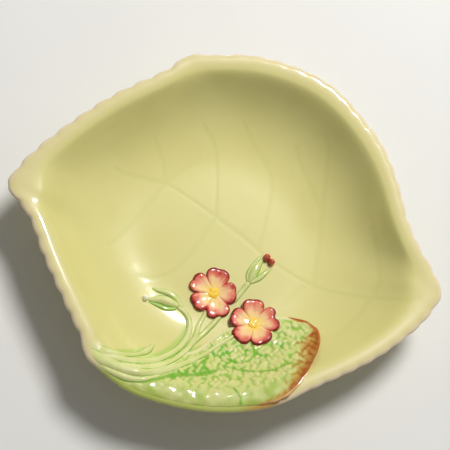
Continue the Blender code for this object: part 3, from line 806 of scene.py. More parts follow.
# %% Leaf sizes
INNER_ROLL, OUTER_ROLL, RIGHT_ROLL = 3.2 * MM, 5.0 * MM, 1.8 * MM
RIGHT_SIDE_X, BEAD_X = (28 * MM, 46 * MM), (4 * MM, 50 * MM)
SOFT_ROLL_WIDTH = 10 * MM
THINNING, THINNING_GAPS = 0.6, (13 * MM, 2 * MM)
SINK, UNDERSIDE = 0.15 * MM, -1.2 * MM
BEAD_HEIGHT, BEAD_IN, BEAD_WIDTH = 0.7 * MM, 1.2 * MM, 0.75 * MM
THICKNESS_STOPS, THICKNESS_SHARES = (0, 0.12, 0.3, 0.5, 0.85, 1), (0.25, 0.4, 0.75, 1, 1, 0.8)
BORDER_STEPS = 80

# %% Heights of the leaf's top over the dish
def gap_to(border):
    """Distance over the wall from each place of the leaf to one of its borders."""
    return np.linalg.norm(seats[:, :, None] - evenly(border, BORDER_STEPS)[None, None], axis=-1).min(axis=2)


right_side = smoothstep(*RIGHT_SIDE_X, leaf_x)
outer_roll = OUTER_ROLL + (RIGHT_ROLL - OUTER_ROLL) * right_side
outer_gap = np.minimum(gap_to(outer_border), gap_to(right_border))
inner_gap = np.minimum(gap_to(inner_border), gap_to(left_border))
rolled = np.clip(np.minimum(outer_gap / outer_roll, inner_gap / INNER_ROLL), 0, 1)
thickness = LEAF_TOP * np.interp(np.linspace(0, 1, LEAF_RINGS), THICKNESS_STOPS, THICKNESS_SHARES)
thickness = thickness[:, None] * (1 - THINNING * (1 - right_side) * smoothstep(*THINNING_GAPS, outer_gap))
soft = smoothstep(SOFT_ROLL_WIDTH, 0, outer_gap) * (1 - right_side)
round_roll, flat_roll = np.sqrt(1 - (1 - rolled) ** 2), smoothstep(0, 1, rolled)
leaf_lifts = -SINK + (thickness + SINK) * (round_roll + (flat_roll - round_roll) * soft)
bead = BEAD_HEIGHT * near(outer_gap - BEAD_IN, BEAD_WIDTH) * smoothstep(*BEAD_X, leaf_x)
print(f"leaf's top: up to {leaf_lifts.max() / MM:.1f} mm over the dish")

# %% The leaf is pulled
over = above_dish(leaf_x, leaf_y, leaf_lifts + bead)[0]
under_share = np.linspace(1, 0, LEAF_UNDER_COLUMNS + 2)[1:-1]
under_columns = (under_share * (LEAF_TOP_COLUMNS - 1)).round().astype(int)
under = above_dish(leaf_x[:, under_columns], leaf_y[:, under_columns], UNDERSIDE)[0]
leaf = pull_rings("moulded_leaf", np.concatenate([over, under], axis=1), start="fill", end="fill")
measure_rings(leaf, top=np.concatenate([np.ones(over.shape[:2]), np.zeros(under.shape[:2])], axis=1))
smooth_over(leaf, 2)

# %% What the leaf carries rests on its top
LIFT_NEIGHBOURS = 4
LIFT_SOFTNESS, LIFT_FADE = 0.05 * MM, (2.6 * MM, 1.3 * MM)


def leaf_lift(x, y):
    """Height of the leaf's top above the dish at places in plan, and 0 beside the leaf."""
    x, y = np.asarray(x, float), np.asarray(y, float)
    distance = np.hypot(np.ravel(x)[:, None] - leaf_x.ravel(), np.ravel(y)[:, None] - leaf_y.ravel())
    nearest = np.argsort(distance, axis=1)[:, :LIFT_NEIGHBOURS]
    gaps = np.take_along_axis(distance, nearest, axis=1)
    weights = 1 / (gaps + LIFT_SOFTNESS) ** 2
    lift = (leaf_lifts.ravel()[nearest] * weights).sum(axis=1) / weights.sum(axis=1)
    return (np.maximum(lift, 0) * smoothstep(*LIFT_FADE, gaps[:, 0])).reshape(x.shape)

# %% [markdown]
# ## Cushions and creases
#
# The leaf's crinkles are soft raised cushions of 2 to 3 mm with hollows between them. Seeds are spread over the
# leaf and each point takes a soft distance to the seeds around it: close seeds melt into one long cushion, and
# where several cushions meet a deep hollow is left. The cushions are stretched along the leaf's side veins, and
# they die out towards the rim. A bump map would shade them much alike, but leave the leaf's outline smooth.

# %% Cushions
CUSHION_SPACING, CUSHION_STRETCH, CUSHION_LEAN = 2.5 * MM, 1.15, math.radians(58)
CUSHION_SHARPNESS, CUSHION_JITTER, CUSHION_SEED = 6.0, 0.34, 11
WAVE_SHIFT = 0.5 * MM
POINTS_AT_ONCE = 4000


def waved(x, y):
    """Places drawn to and fro along waves, so that no row of cushions runs straight."""
    return (x + WAVE_SHIFT * np.sin(y / MM * 0.9 + 0.5 * np.sin(x / MM * 0.35)),
            y + WAVE_SHIFT * np.sin(x / MM * 0.8 + 1.3))


def cushion_gaps(x, y):
    """Soft distance to the nearest seeds in units of the spacing, and a random number for each cushion."""
    x, y = waved(x, y)
    u = (x * math.cos(CUSHION_LEAN) + y * math.sin(CUSHION_LEAN)) / CUSHION_STRETCH / CUSHION_SPACING
    v = (-x * math.sin(CUSHION_LEAN) + y * math.cos(CUSHION_LEAN)) / CUSHION_SPACING
    rng = np.random.default_rng(CUSHION_SEED)
    grid_u, grid_v = np.meshgrid(np.arange(u.min() - 2, u.max() + 2), np.arange(v.min() - 2, v.max() + 2))
    seeds = np.stack([grid_u.ravel(), grid_v.ravel()], axis=1)
    seeds += rng.uniform(-CUSHION_JITTER, CUSHION_JITTER, seeds.shape)
    shades = rng.uniform(0, 1, len(seeds))
    gap, shade = np.zeros(len(u)), np.zeros(len(u))
    for start in range(0, len(u), POINTS_AT_ONCE):
        part = slice(start, start + POINTS_AT_ONCE)
        square = (u[part, None] - seeds[None, :, 0]) ** 2 + (v[part, None] - seeds[None, :, 1]) ** 2
        nearness = np.exp(-square * CUSHION_SHARPNESS)
        gap[part] = -np.log(nearness.sum(axis=1) + 1e-9) / CUSHION_SHARPNESS
        shade[part] = (nearness * shades).sum(axis=1) / nearness.sum(axis=1)
    return gap, shade

# %% [markdown]
# A midrib and a few side veins are pressed in between the cushions. The green lies thickest at a few places, each
# given with its size, as a loaded brush leaves it. All the distances that the leaf's glaze needs are written too.

# %% Leaf's veins and greenest places, in millimetres in plan
MIDRIB = ((-53, -96), (-44, -97.4), (-34.3, -97.0), (-26.7, -95.1), (-19.4, -91.6), (-13, -88.0), (-7.5, -86.2),
          (2.3, -83.2), (12.9, -77.0), (24, -70))
SIDE_VEINS = (((13.5, -74.5), (22, -75.5), (31, -74.5), (40, -72.0), (48.0, -66.5)),
              ((16.0, -70.0), (24, -70.5), (29.5, -65.5), (29.5, -60.0), (25.5, -56.0)),
              ((-2.0, -82.5), (1.5, -76.0), (5.0, -71.5)), ((20.0, -88.0), (24.0, -92.0), (25.0, -95.5)))
GREEN_PLACES = ((-11.0, -86.4, 4.5), (-4.0, -82.5, 4.0), (3.5, -80.5, 5.0), (14.5, -66.5, 5.0), (6.0, -66.0, 3.5),
                (28.5, -62.0, 4.0), (36.0, -66.0, 4.5), (44.5, -54.0, 4.0), (40.0, -41.5, 3.0), (22.0, -74.0, 4.0))

# %% Cushions raised and veins pressed in
CUSHION_HEIGHT, CUSHION_VARIETY, CREASE_GAPS = 0.6 * MM, 0.25 * MM, (-0.02, 0.42)
CRINKLE_INSETS, CRINKLE_EDGE, SWELL_EDGE = (7 * MM, 14 * MM), (0.8 * MM, 4 * MM), (0.5 * MM, 4 * MM)
RIB_DEPTH, RIB_WIDTH, SWELL_HEIGHT = 0.25 * MM, 1.2 * MM, 0.16 * MM
places = read_points(leaf)
top = read_measure(leaf, "top") > 0.6
normals = read_normals(leaf)
x, y = places[:, 0], places[:, 1]
hollow, cell_shade = cushion_gaps(x, y)
border_gap = distance_to([border[:, :2] for border in (outer_border, inner_border, left_border, right_border)], x, y)
inset = inset_of(x, y)
crinkle = smoothstep(*CRINKLE_INSETS, inset) * smoothstep(*CRINKLE_EDGE, border_gap)
crease = smoothstep(*CREASE_GAPS, hollow)
rib_gap = distance_to(plan_lines([MIDRIB], steps=6), x, y)
height = (CUSHION_HEIGHT * (0.4 - crease) + CUSHION_VARIETY * (cell_shade - 0.5)) * crinkle
height -= RIB_DEPTH * near(rib_gap, RIB_WIDTH)
swell = np.sin(x / MM * 0.62 + 1.1 * np.sin(y / MM * 0.31)) * np.sin(y / MM * 0.55 + 0.9 * np.sin(x / MM * 0.23) + 1)
height += SWELL_HEIGHT * swell * smoothstep(*SWELL_EDGE, border_gap)
write_points(leaf, places + normals * (height * top)[:, None])
print(f"cushions and veins: {height.min() / MM:.2f} to {height.max() / MM:.2f} mm")

# %% Measures for the leaf's glaze
RIB_PAINT_WIDTH, RIB_PAINT_X, SIDE_VEIN_SHARE = 1.5 * MM, (22 * MM, 6 * MM), 0.8
side_gap = distance_to(plan_lines(SIDE_VEINS, steps=6), x, y)
rib = near(rib_gap, RIB_PAINT_WIDTH) * smoothstep(*RIB_PAINT_X, x)
deep = sum(np.exp(-((x / MM - px) ** 2 + (y / MM - py) ** 2) / size ** 2) for px, py, size in GREEN_PLACES)
write_measures(
    leaf, crease=np.where(top, crease, 0.0), crinkle=crinkle, cell=cell_shade, inset_mm=inset / MM,
    rib=np.maximum(rib, SIDE_VEIN_SHARE * near(side_gap, RIB_WIDTH)), deep=np.clip(deep, 0, 1),
    edge_mm=distance_to([outer_border[:, :2]], x, y) / MM, inner_mm=distance_to([inner_border[:, :2]], x, y) / MM,
)
print(f"share of the leaf in creases: {(crease > 0.5).mean():.2f}")

# %% [markdown]
# ## Leaf colours
#
# Green is brushed on and wiped off the cushions, so it stays in the creases and along the midrib. At the leaf's
# far end a brown band is painted along the edge and drawn inwards in streaks.

# %% Brown band: its line and widths in millimetres, at stops along it
BAND = ((46.5, -36.3), (52.7, -37.1), (58.2, -36.9), (61.9, -38.8), (64.4, -42.0), (65.7, -46.8), (65.6, -52.4),
        (64.1, -59.4), (61.5, -65.6), (58.6, -72.0), (56.0, -77.8), (53.0, -82.4), (46.5, -89.5), (41.2, -93.7),
        (31.0, -98.0))
BAND_STOPS = (0, 0.1, 0.2, 0.34, 0.5, 0.66, 0.8, 1.0)
BAND_WIDTHS = (0.8, 3.0, 9.0, 14.5, 13.0, 8.5, 6.5, 3.5)
BAND_STEPS = 160
STREAKS, STREAK_SHARES, STREAK_SEED = 40, (0.8, 1.25), 5
PALE_BEAD_STOPS, PALE_BEAD_X = (0.36, 0.52), (30 * MM, 50 * MM)


def share_along(line, x, y):
    """Share of the way along the line at the nearest point of it."""
    line = evenly(line, BAND_STEPS)
    nearest = np.hypot(x[:, None] - line[None, :, 0], y[:, None] - line[None, :, 1]).argmin(axis=1)
    return nearest / BAND_STEPS


band_line = plan_lines([BAND], steps=6)[0]
along = share_along(band_line, x, y)
band_gap = distance_to([band_line], x, y) / MM
rng = np.random.default_rng(STREAK_SEED)
streaks = np.interp(along, np.linspace(0, 1, STREAKS), rng.uniform(*STREAK_SHARES, STREAKS))
band_width = np.interp(along, BAND_STOPS, BAND_WIDTHS) * streaks
write_measures(leaf, band=np.clip(1 - band_gap / band_width, 0, 1),
               bead_pale=smoothstep(*PALE_BEAD_STOPS, along) * smoothstep(*PALE_BEAD_X, x))
print("points in the brown band:", int((band_gap < band_width).sum()))

# %% Leaf glaze
CROWN_TONES, RIM_PART_TONES = (tone(198, 206, 122), tone(216, 211, 146)), (tone(202, 204, 128), tone(170, 188, 88))
GREEN_TONE, DEEP_GREEN_TONE, RIB_TONE = tone(134, 184, 62), tone(106, 174, 46), tone(110, 170, 44)
BROWN_TONE, DEEP_BROWN_TONE, PAINTED_SHADOW_LINE_TONE = tone(184, 136, 52), tone(160, 78, 20), tone(140, 82, 24)
BROWN_BEAD_TONE, PALE_BEAD_TONE, INNER_EDGE_CREAM_AND_HIGHLIGHT_TONE = tone(192, 100, 42), tone(232, 186, 120), tone(230, 222, 170)


def leaf_glaze():
    """Green in the creases, a brown band at the far end, thin cream edges with a painted highlight on the inner one,
    and a painted shadow line on the outermost far edge.
    """
    glaze = Glaze("crinkled_leaf_glaze")
    crease, crinkle, deep = glaze.measure("crease"), glaze.measure("crinkle"), glaze.measure("deep")
    patches = glaze.noise(120.0, 3.0)
    broad = glaze.noise(42.0, 2.0)
    small = glaze.noise(420.0, 2.0)
    crown = glaze.blend(glaze.measure("cell"), *CROWN_TONES)
    rim_part = glaze.blend(glaze.soft(patches + broad, 0.85, 1.2), *RIM_PART_TONES)
    colour = glaze.blend(glaze.soft(glaze.measure("inset_mm") + (patches - 0.5) * 6.0, 14.0, 8.0), crown, rim_part)
    green = glaze.soft(crease + (patches - 0.5) * 0.6, 0.0, 1.0) * (0.5 + glaze.soft(broad, 0.35, 0.65) * 0.5)
    colour = glaze.blend(green * (0.12 + crinkle * 0.85), colour, GREEN_TONE)
    wash = glaze.soft(deep * (0.3 + crease * 0.7) + (patches - 0.5) * 0.6, 0.15, 0.75)
    colour = glaze.blend(wash * 0.85, colour, DEEP_GREEN_TONE)
    vein = glaze.soft(glaze.measure("rib") * (0.35 + patches * 1.2), 0.3, 0.85)
    colour = glaze.blend(vein * 0.85, colour, RIB_TONE)
    band = glaze.measure("band")
    brown = glaze.soft(band + (crease - 0.5) * 0.3 + (patches - 0.5) * 0.4, 0.05, 0.5) * glaze.soft(band, 0.0, 0.15)
    colour = glaze.blend(brown * 0.92, colour, BROWN_TONE)
    deepest = glaze.soft(band + (crease - 0.5) * 0.25 + (patches - 0.5) * 0.5, 0.34, 0.8)
    colour = glaze.blend(deepest * 0.95, colour, DEEP_BROWN_TONE)
    edge = glaze.soft(glaze.measure("edge_mm"), 2.2, 1.5)
    pale = glaze.measure("bead_pale")
    colour = glaze.blend(edge * glaze.soft(band, 0.3, 0.7) * (1 - pale), colour, BROWN_BEAD_TONE)
    colour = glaze.blend(edge * pale * 0.95, colour, PALE_BEAD_TONE)
    # Partly painted highlight: the leaf's inner edge is painted pale cream, partly its own cream and partly a painted
    # highlight along the rolled edge.
    inner = glaze.soft(glaze.measure("inner_mm"), 2.4, 1.4) * (1 - glaze.soft(band, 0.05, 0.3))
    colour = glaze.blend(inner * 0.8, colour, INNER_EDGE_CREAM_AND_HIGHLIGHT_TONE)
    # Painted shadow: a thin dark brown line on the outermost edge along the brown band stands for the shade just
    # beyond the raised bead.
    line = glaze.soft(glaze.measure("edge_mm"), 0.55, 0.2) * glaze.soft(band, 0.2, 0.6)
    colour = glaze.blend(line * 0.9, colour, PAINTED_SHADOW_LINE_TONE)
    return glaze.finish(colour, 0.32 + patches * 0.12, small * 0.3 + patches, 0.15 * MM)


hand_over(leaf, leaf_glaze(), "leaf_glaze", "leaf_blade")

# %% [markdown]
# ## Stems
#
# The stems are soft rolls of clay laid on the dish, and the glaze fills the crease on each side of them. The
# section is a low round crown with skirts that run out on the dish. Each section point is laid on the wall, or on
# the leaf, by its own place in plan, so the skirts follow the form below them. The lower ends sink into the lip,
# and the upper ends run on under the petals.

# %% Stem section and sweep
STEM_SECTION = np.array(((-1.7, -0.25), (-1.3, 0.02), (-1.02, 0.42), (-0.70, 0.88), (-0.35, 1.18), (0, 1.28),
                         (0.35, 1.18), (0.70, 0.88), (1.02, 0.42), (1.3, 0.02), (1.7, -0.25), (0.9, -0.8),
                         (-0.9, -0.8)))
STEM_STEP = 1.9 * MM


def sweep(name, points, radii, heights=(1, 1), section=STEM_SECTION, step=STEM_STEP):
    """A section swept along a line in plan and laid on the dish or on the leaf; heights are shares of the radii."""
    line = smooth_line(np.array(points) * MM, steps=8)
    count = max(4, math.ceil(np.linalg.norm(np.diff(line, axis=0), axis=1).sum() / step))
    line = evenly(line, count)
    share = np.linspace(0, 1, len(line))
    radius = np.interp(share, np.linspace(0, 1, len(radii)), radii) * MM
    rise = np.interp(share, np.linspace(0, 1, len(heights)), heights) * radius
    centres, normals = above_dish(line[:, 0], line[:, 1], 0.0)
    tangents = np.gradient(centres, axis=0)
    sides = np.cross(tangents, normals)
    sides /= np.linalg.norm(sides, axis=1, keepdims=True)
    rings = []
    for centre, side, size, high in zip(centres, sides, radius, rise):
        x, y = (centre + side * (section[:, 0] * size)[:, None])[:, :2].T
        lift = np.where(section[:, 1] > 0, section[:, 1] * high, section[:, 1] * size)
        rings.append(above_dish(x, y, leaf_lift(x, y) + lift)[0])
    piece = pull_rings(name, rings, start="fill", end="fill")
    measure_rings(piece, across=section[:, 0])
    smooth_over(piece, 2)
    return piece

# %% [markdown]
# ## Stem glaze
#
# The rolls are cream where the green was wiped off, and a green line stays in the creases at their feet.

# %% Stem glaze
STEM_TONES = tone(218, 218, 154), tone(208, 212, 136)
STEM_LINE_TONE, SKIRT_TONE = tone(122, 178, 58), tone(196, 203, 122)


def stem_glaze(name):
    """Cream on the crown, a green line at the foot on both sides, and the dish's own colour on the skirt."""
    glaze = Glaze(name)
    distance = glaze.measure("across").size()
    patches = glaze.noise(110.0, 2.0)
    line = glaze.soft(distance, 0.96, 1.14) * (1 - glaze.soft(distance, 1.32, 1.6))
    crown = glaze.blend(glaze.soft(patches, 0.35, 0.65), *STEM_TONES)
    colour = glaze.blend(line * (0.4 + glaze.soft(patches, 0.35, 0.6) * 0.6), crown, STEM_LINE_TONE)
    colour = glaze.blend(glaze.soft(distance, 1.35, 1.65), colour, SKIRT_TONE)
    return glaze.finish(colour, 0.30 + patches * 0.12, patches, 0.1 * MM)

# %% Stems: points in plan and radii in millimetres, heights as shares of the radii
STEMS = {
    "left_bud_stem": (((-17.3, -45.5), (-13.7, -47.0), (-10.5, -49.5), (-8.7, -52.7), (-8.1, -56.2), (-8.5, -61.8),
                       (-11.0, -68.1), (-16.0, -74.5), (-22.5, -80.0), (-29.9, -83.6), (-36.9, -85.6),
                       (-44.1, -86.6), (-52.0, -86.8), (-59.0, -85.6)), (1.1, 1.4, 1.5, 1.5, 1.6, 1.8, 2.0, 2.0),
                      (0.95, 0.9, 0.9, 0.85, 0.7, 0.45, -0.25)),
    "left_flower_stem": (((-0.3, -43.6), (-3.2, -53.7), (-3.7, -60.0), (-5.8, -66.4), (-9.1, -72.6), (-13.7, -78.3),
                          (-19.3, -83.0), (-25.6, -86.4), (-32.1, -88.4), (-38.7, -89.4), (-47.0, -89.6)),
                         (1.0, 1.2, 1.4, 1.5, 1.6, 1.7, 1.6), (0.9, 0.9, 0.9, 0.8, 0.6, -0.25)),
    "right_flower_stem": (((18.4, -54.6), (8.4, -65.0), (2.5, -71.5), (-4.0, -77.0), (-10.2, -82.2), (-15.0, -85.6),
                           (-21.8, -89.4), (-28.8, -91.8), (-35.9, -92.2), (-42.6, -91.4), (-49.4, -90.0),
                           (-55.6, -88.6), (-61.5, -86.8)), (0.9, 1.0, 1.2, 1.5, 1.8, 2.1, 2.4, 2.6, 2.4),
                          (1.0, 1.0, 1.0, 0.95, 0.9, 0.75, 0.45, -0.2)),
    "leaf_stalk": (((-56.0, -91.4), (-50.0, -93.8), (-43.0, -95.3), (-36.0, -96.0), (-29.0, -95.0), (-21.0, -91.6)),
                   (1.0, 1.5, 1.6, 1.5, 1.2, 0.5), (-0.2, 0.35, 0.5, 0.5, 0.5, 0.3)),
    "right_bud_stem": (((20.0, -21.3), (18.6, -24.3), (17.3, -27.2), (13.2, -35.2)), (1.3, 1.25, 1.25, 1.2),
                       (0.8, 0.8)),
    "right_bud_stem_tail": (((8.3, -44.0), (2.8, -53.6), (-0.9, -59.3), (-4.9, -65.7), (-8.4, -71.0)),
                            (1.1, 1.4, 1.3, 1.0, 0.4), (0.9, 0.9)),
    "bract": (((-25.8, -70.6), (-27.8, -74.8), (-30.6, -78.2), (-36.0, -81.6), (-42.9, -83.9), (-49.3, -84.8),
               (-57.0, -84.2)), (0.5, 1.8, 1.2, 1.1, 1.6, 1.9, 1.8), (1.0, 0.9, 0.8, 0.7, 0.45, -0.25)),
}
PIECE_NAMES = {node: node + "_roll" for node in STEMS} | {"bract": "bract_scale"}

# %% Stems laid on the dish and the leaf
stem_finish = stem_glaze("stem_glaze")
for node, (points, sizes, heights) in STEMS.items():
    hand_over(sweep(PIECE_NAMES[node], points, sizes, heights), stem_finish, "stem_glaze", node)

# %% [markdown]
# ## Buds
#
# Each bud is a plump body that is held by narrow sepals, one at a time laid on as a tapered roll. A brush followed
# their edges with green. The rolls overlap where they meet the stem and are joined to one object.

# %% Bud section and glaze
SEPAL_SECTION = np.array(((-1.45, -0.20), (-1.18, 0.05), (-0.98, 0.42), (-0.66, 0.84), (-0.33, 1.04), (0, 1.10),
                          (0.33, 1.04), (0.66, 0.84), (0.98, 0.42), (1.18, 0.05), (1.45, -0.20), (0.8, -0.6),
                          (-0.8, -0.6)))
SEPAL_STEP = 1.3 * MM
BUD_TONES, BUD_GREEN_TONE = (tone(218, 216, 152), tone(204, 211, 134)), tone(150, 192, 84)
BUD_LINE_TONE, BUD_SKIRT_TONE = tone(124, 182, 66), tone(214, 208, 144)


def bud_glaze(name):
    """Cream or green sepals with a green line along their edges."""
    glaze = Glaze(name)
    distance = glaze.measure("across").size()
    patches = glaze.noise(120.0, 2.0)
    line = glaze.soft(distance, 0.86, 1.08) * (1 - glaze.soft(distance, 1.14, 1.34))
    colour = glaze.blend(glaze.soft(patches, 0.35, 0.65), *BUD_TONES)
    colour = glaze.blend(glaze.measure("green") * 0.75, colour, BUD_GREEN_TONE)
    colour = glaze.blend(line * (0.65 + patches * 0.5), colour, BUD_LINE_TONE)
    colour = glaze.blend(glaze.soft(distance, 1.14, 1.36), colour, BUD_SKIRT_TONE)
    return glaze.finish(colour, 0.30 + patches * 0.12, patches, 0.1 * MM)


def bud(name, parts):
    """Tapered rolls as one object; a part says how green it is."""
    pieces = []
    for number, (points, radii, green) in enumerate(parts):
        piece = sweep(f"{name}_{number}" if number else name, points, radii, section=SEPAL_SECTION, step=SEPAL_STEP)
        write_measures(piece, green=np.full(len(piece.data.vertices), green))
        pieces.append(piece)
    return join(pieces)

# %% Both buds: points and radii in millimetres, and how green each roll is
LEFT_BUD = (
    (((-35.0, -45.5), (-32.5, -45.3), (-29.0, -44.2), (-25.5, -43.8), (-22.0, -44.2), (-17.0, -45.3)),
     (0.6, 1.6, 2.3, 2.7, 2.3, 1.4), 0.0),
    (((-34.0, -38.3), (-30.5, -39.0), (-27.0, -38.8), (-24.0, -38.9), (-20.7, -39.9), (-17.8, -42.2), (-14.8, -45.6)),
     (0.3, 1.0, 1.4, 1.6, 1.6, 1.4, 1.2), 0.0),
    (((-34.2, -46.9), (-31.5, -47.3), (-28.0, -47.7), (-24.5, -48.3), (-21.0, -48.0), (-17.6, -46.4)),
     (0.3, 0.8, 1.1, 1.25, 1.2, 0.7), 1.0),
)
RIGHT_BUD = (
    (((24.9, -6.0), (23.5, -9.0), (22.2, -12.5), (21.2, -16.5), (20.2, -21.6)), (0.9, 1.9, 2.4, 2.3, 1.2), 0.25),
    (((24.2, -3.4), (22.0, -7.2), (19.9, -11.4), (18.7, -15.0), (18.4, -18.4), (19.7, -21.6)),
     (0.3, 0.7, 0.9, 1.0, 0.9, 0.7), 0.35),
    (((31.2, -9.9), (29.3, -12.0), (27.2, -15.0), (24.9, -18.0), (22.6, -20.0), (20.3, -21.8)),
     (0.4, 1.1, 1.4, 1.4, 1.1, 0.8), 0.2),
)
calyx_finish = bud_glaze("calyx_glaze")
hand_over(bud("left_bud_calyx_body", LEFT_BUD), calyx_finish, "stem_glaze", "left_bud_calyx")
hand_over(bud("right_bud_calyx_body", RIGHT_BUD), calyx_finish, "stem_glaze", "right_bud_calyx")

# %% [markdown]
# ## Bud tips
#
# The tips are small balls of clay. Each was pressed on the dish, so its lower half spreads into a foot, which a
# sphere doesn't have. So each ball is pulled from rings like the other pieces.

# %% Bud tips: shares of the radius, outwards and upwards
BALL_PROFILE = ((0.25, 2.05), (0.62, 1.85), (0.92, 1.4), (1.0, 0.9), (1.03, 0.35), (1.2, -0.1), (0.6, -0.4))
BALL_COLUMNS = 16
PALE_TIP_AND_HIGHLIGHT_TONES, CRIMSON_TONES = (tone(248, 245, 228), tone(238, 236, 212)), (tone(206, 92, 72), tone(166, 50, 50))


def ball(name, place, radius):
    """A ball pressed on the dish at a place in plan."""
    turns = np.linspace(0, math.tau, BALL_COLUMNS, endpoint=False)
    piece = pull_rings(name, [ring_round(place, radius * share, turns, radius * lift) for share, lift in BALL_PROFILE])
    smooth_over(piece, 1)
    return piece


def tip_glaze(name, tones):
    """A finely spotted glaze between two tones."""
    glaze = Glaze(name)
    spots = glaze.noise(700.0, 2.0)
    return glaze.finish(glaze.blend(glaze.soft(spots, 0.35, 0.65), *tones), 0.30 + spots * 0.1, spots, 0.05 * MM)


# Partly painted highlight: the left bud's tip is painted near white, partly its own pale colour and partly a painted
# highlight.
white_tip = ball("left_bud_tip", (-36.3 * MM, -45.5 * MM), 1.75 * MM)
hand_over(white_tip, tip_glaze("white_bud_glaze", PALE_TIP_AND_HIGHLIGHT_TONES), "white_glaze", "left_bud_petals")
crimson_tips = join([ball("right_bud_tips", (27.2 * MM, -4.4 * MM), 2.15 * MM),
                     ball("second_tip", (30.4 * MM, -6.4 * MM), 2.0 * MM)])
hand_over(crimson_tips, tip_glaze("crimson_bud_glaze", CRIMSON_TONES), "petal_glaze", "right_bud_petals")

# %% [markdown]
# ## Flowers
#
# Each flower has five notched petals round a golden eye. The clay is fullest near the petals' outer third, dips
# along each petal's middle and falls into a crease between two petals. Columns of the pull are spread over the
# petals by their place between two creases, so the creases stay sharp. The right flower rests on the leaf and the
# left one on the bowl, and no petal is quite like the next.

# %% Flower places and petals: turn in degrees, reach and notch as shares of the radius
FLOWER_RADIUS = 15.6 * MM
FLOWER_SPACING = 1.84 * FLOWER_RADIUS
LEFT_FLOWER = np.array((0.012 * HALF_LENGTH, -0.311 * HALF_WIDTH))
RIGHT_FLOWER_TURN = math.radians(-26.5)
RIGHT_FLOWER = LEFT_FLOWER + FLOWER_SPACING * np.array((math.cos(RIGHT_FLOWER_TURN), math.sin(RIGHT_FLOWER_TURN)))
LEFT_PETALS = ((15.5, 0.88, 0.05), (90.0, 1.0, 0.05), (161.0, 1.0, 0.06), (220.0, 0.94, 0.03), (292.0, 0.98, 0.06))
RIGHT_PETALS = ((29.0, 1.02, 0.18), (102.0, 0.98, 0.04), (170.0, 0.92, 0.05), (240.5, 0.97, 0.05), (302.0, 0.94, 0.05))

# %% Flower outline and rings: share of the reach, height in millimetres
PETAL_PLACES = np.array((-0.995, -0.93, -0.8, -0.62, -0.42, -0.22, -0.07, 0.07, 0.22, 0.42, 0.62, 0.8, 0.93, 0.995))
FLOWER_RINGS = ((0.05, 0.75), (0.14, 0.80), (0.26, 0.90), (0.40, 1.15), (0.54, 1.50), (0.67, 1.90), (0.79, 2.20),
                (0.89, 2.25), (0.955, 1.95), (0.99, 1.35), (1.0, 0.60), (1.01, -0.30))
CREASE_DEPTH, FOLD_DEPTH, TILT, RIPPLE, FLAT_LIFT = 0.75, 0.35, 0.22, 0.10, 0.3
FOLD_WIDTH, NOTCH_WIDTH, RIPPLES = 0.20, 0.20, 3.2
BODY_SHARES, CREASE_PLACES = (0.2, 0.6), (0.74, 1.0)
WAIST = 0.66
UNDER_REACH, UNDER_DROP, UNDER_SHARE = 0.5, 0.5 * MM, 1.03


def petal_columns(petals):
    """Angle, reach and place within its petal for each column."""
    angles, reaches, across = [], [], []
    for i, (here, reach, notch) in enumerate(petals):
        before = petals[i - 1][0] - (360 if i == 0 else 0)
        after = petals[(i + 1) % 5][0] + (360 if i == 4 else 0)
        for place in PETAL_PLACES:
            span = (after - here) / 2 if place >= 0 else (here - before) / 2
            lobe = WAIST + (1 - WAIST) * (1 - abs(place) ** 3) ** 0.5
            angles.append(here + place * span)
            reaches.append(reach * lobe - notch * math.exp(-(place / NOTCH_WIDTH) ** 2))
            across.append(place)
    return np.radians(angles), np.array(reaches), np.array(across)


def flower(name, centre, petals, seat):
    """Five petals in one piece, with measures for the glaze."""
    turns, reaches, across = petal_columns(petals)
    rings, shares = [], []
    for share, lift in FLOWER_RINGS:
        body = smoothstep(*BODY_SHARES, share)
        height = np.full(len(turns), lift)
        if lift > FLAT_LIFT:
            height -= FOLD_DEPTH * near(across, FOLD_WIDTH) * body
            height -= CREASE_DEPTH * smoothstep(*CREASE_PLACES, np.abs(across)) * body
            height += TILT * across * body + RIPPLE * np.cos(across * math.pi * RIPPLES) * body
        rings.append(ring_round(centre, FLOWER_RADIUS * reaches * share, turns, seat + height * MM))
        shares.append([share])
    rings.append(ring_round(centre, FLOWER_RADIUS * reaches * UNDER_REACH, turns, seat - UNDER_DROP))
    shares.append([UNDER_SHARE])
    piece = pull_rings(name, rings)
    measure_rings(piece, out=shares, across=across, turn=turns)
    smooth_over(piece, 2)
    return piece

# %% [markdown]
# ## Petal and eye glazes
#
# Each petal is crimson at its edge, salmon inside it and cream to gold near the eye, painted in strokes that run
# from the middle outwards. The strokes are a noise that is stretched along the petal: it reads the angle and the
# distance out, which were written on the points. A dark line follows the outline, and blots break up the shading.

# %% Petal glaze
PETAL_STOPS = [(0.20, tone(250, 208, 86)), (0.34, tone(244, 208, 132)), (0.56, tone(242, 196, 146)),
               (0.70, tone(234, 150, 118)), (0.84, tone(216, 104, 82)), (0.95, tone(184, 60, 54)),
               (1.08, tone(166, 44, 44))]
OUTLINE_TONE, CREASE_TONE, BLOT_TONE = tone(122, 14, 20), tone(176, 64, 48), tone(168, 32, 44)


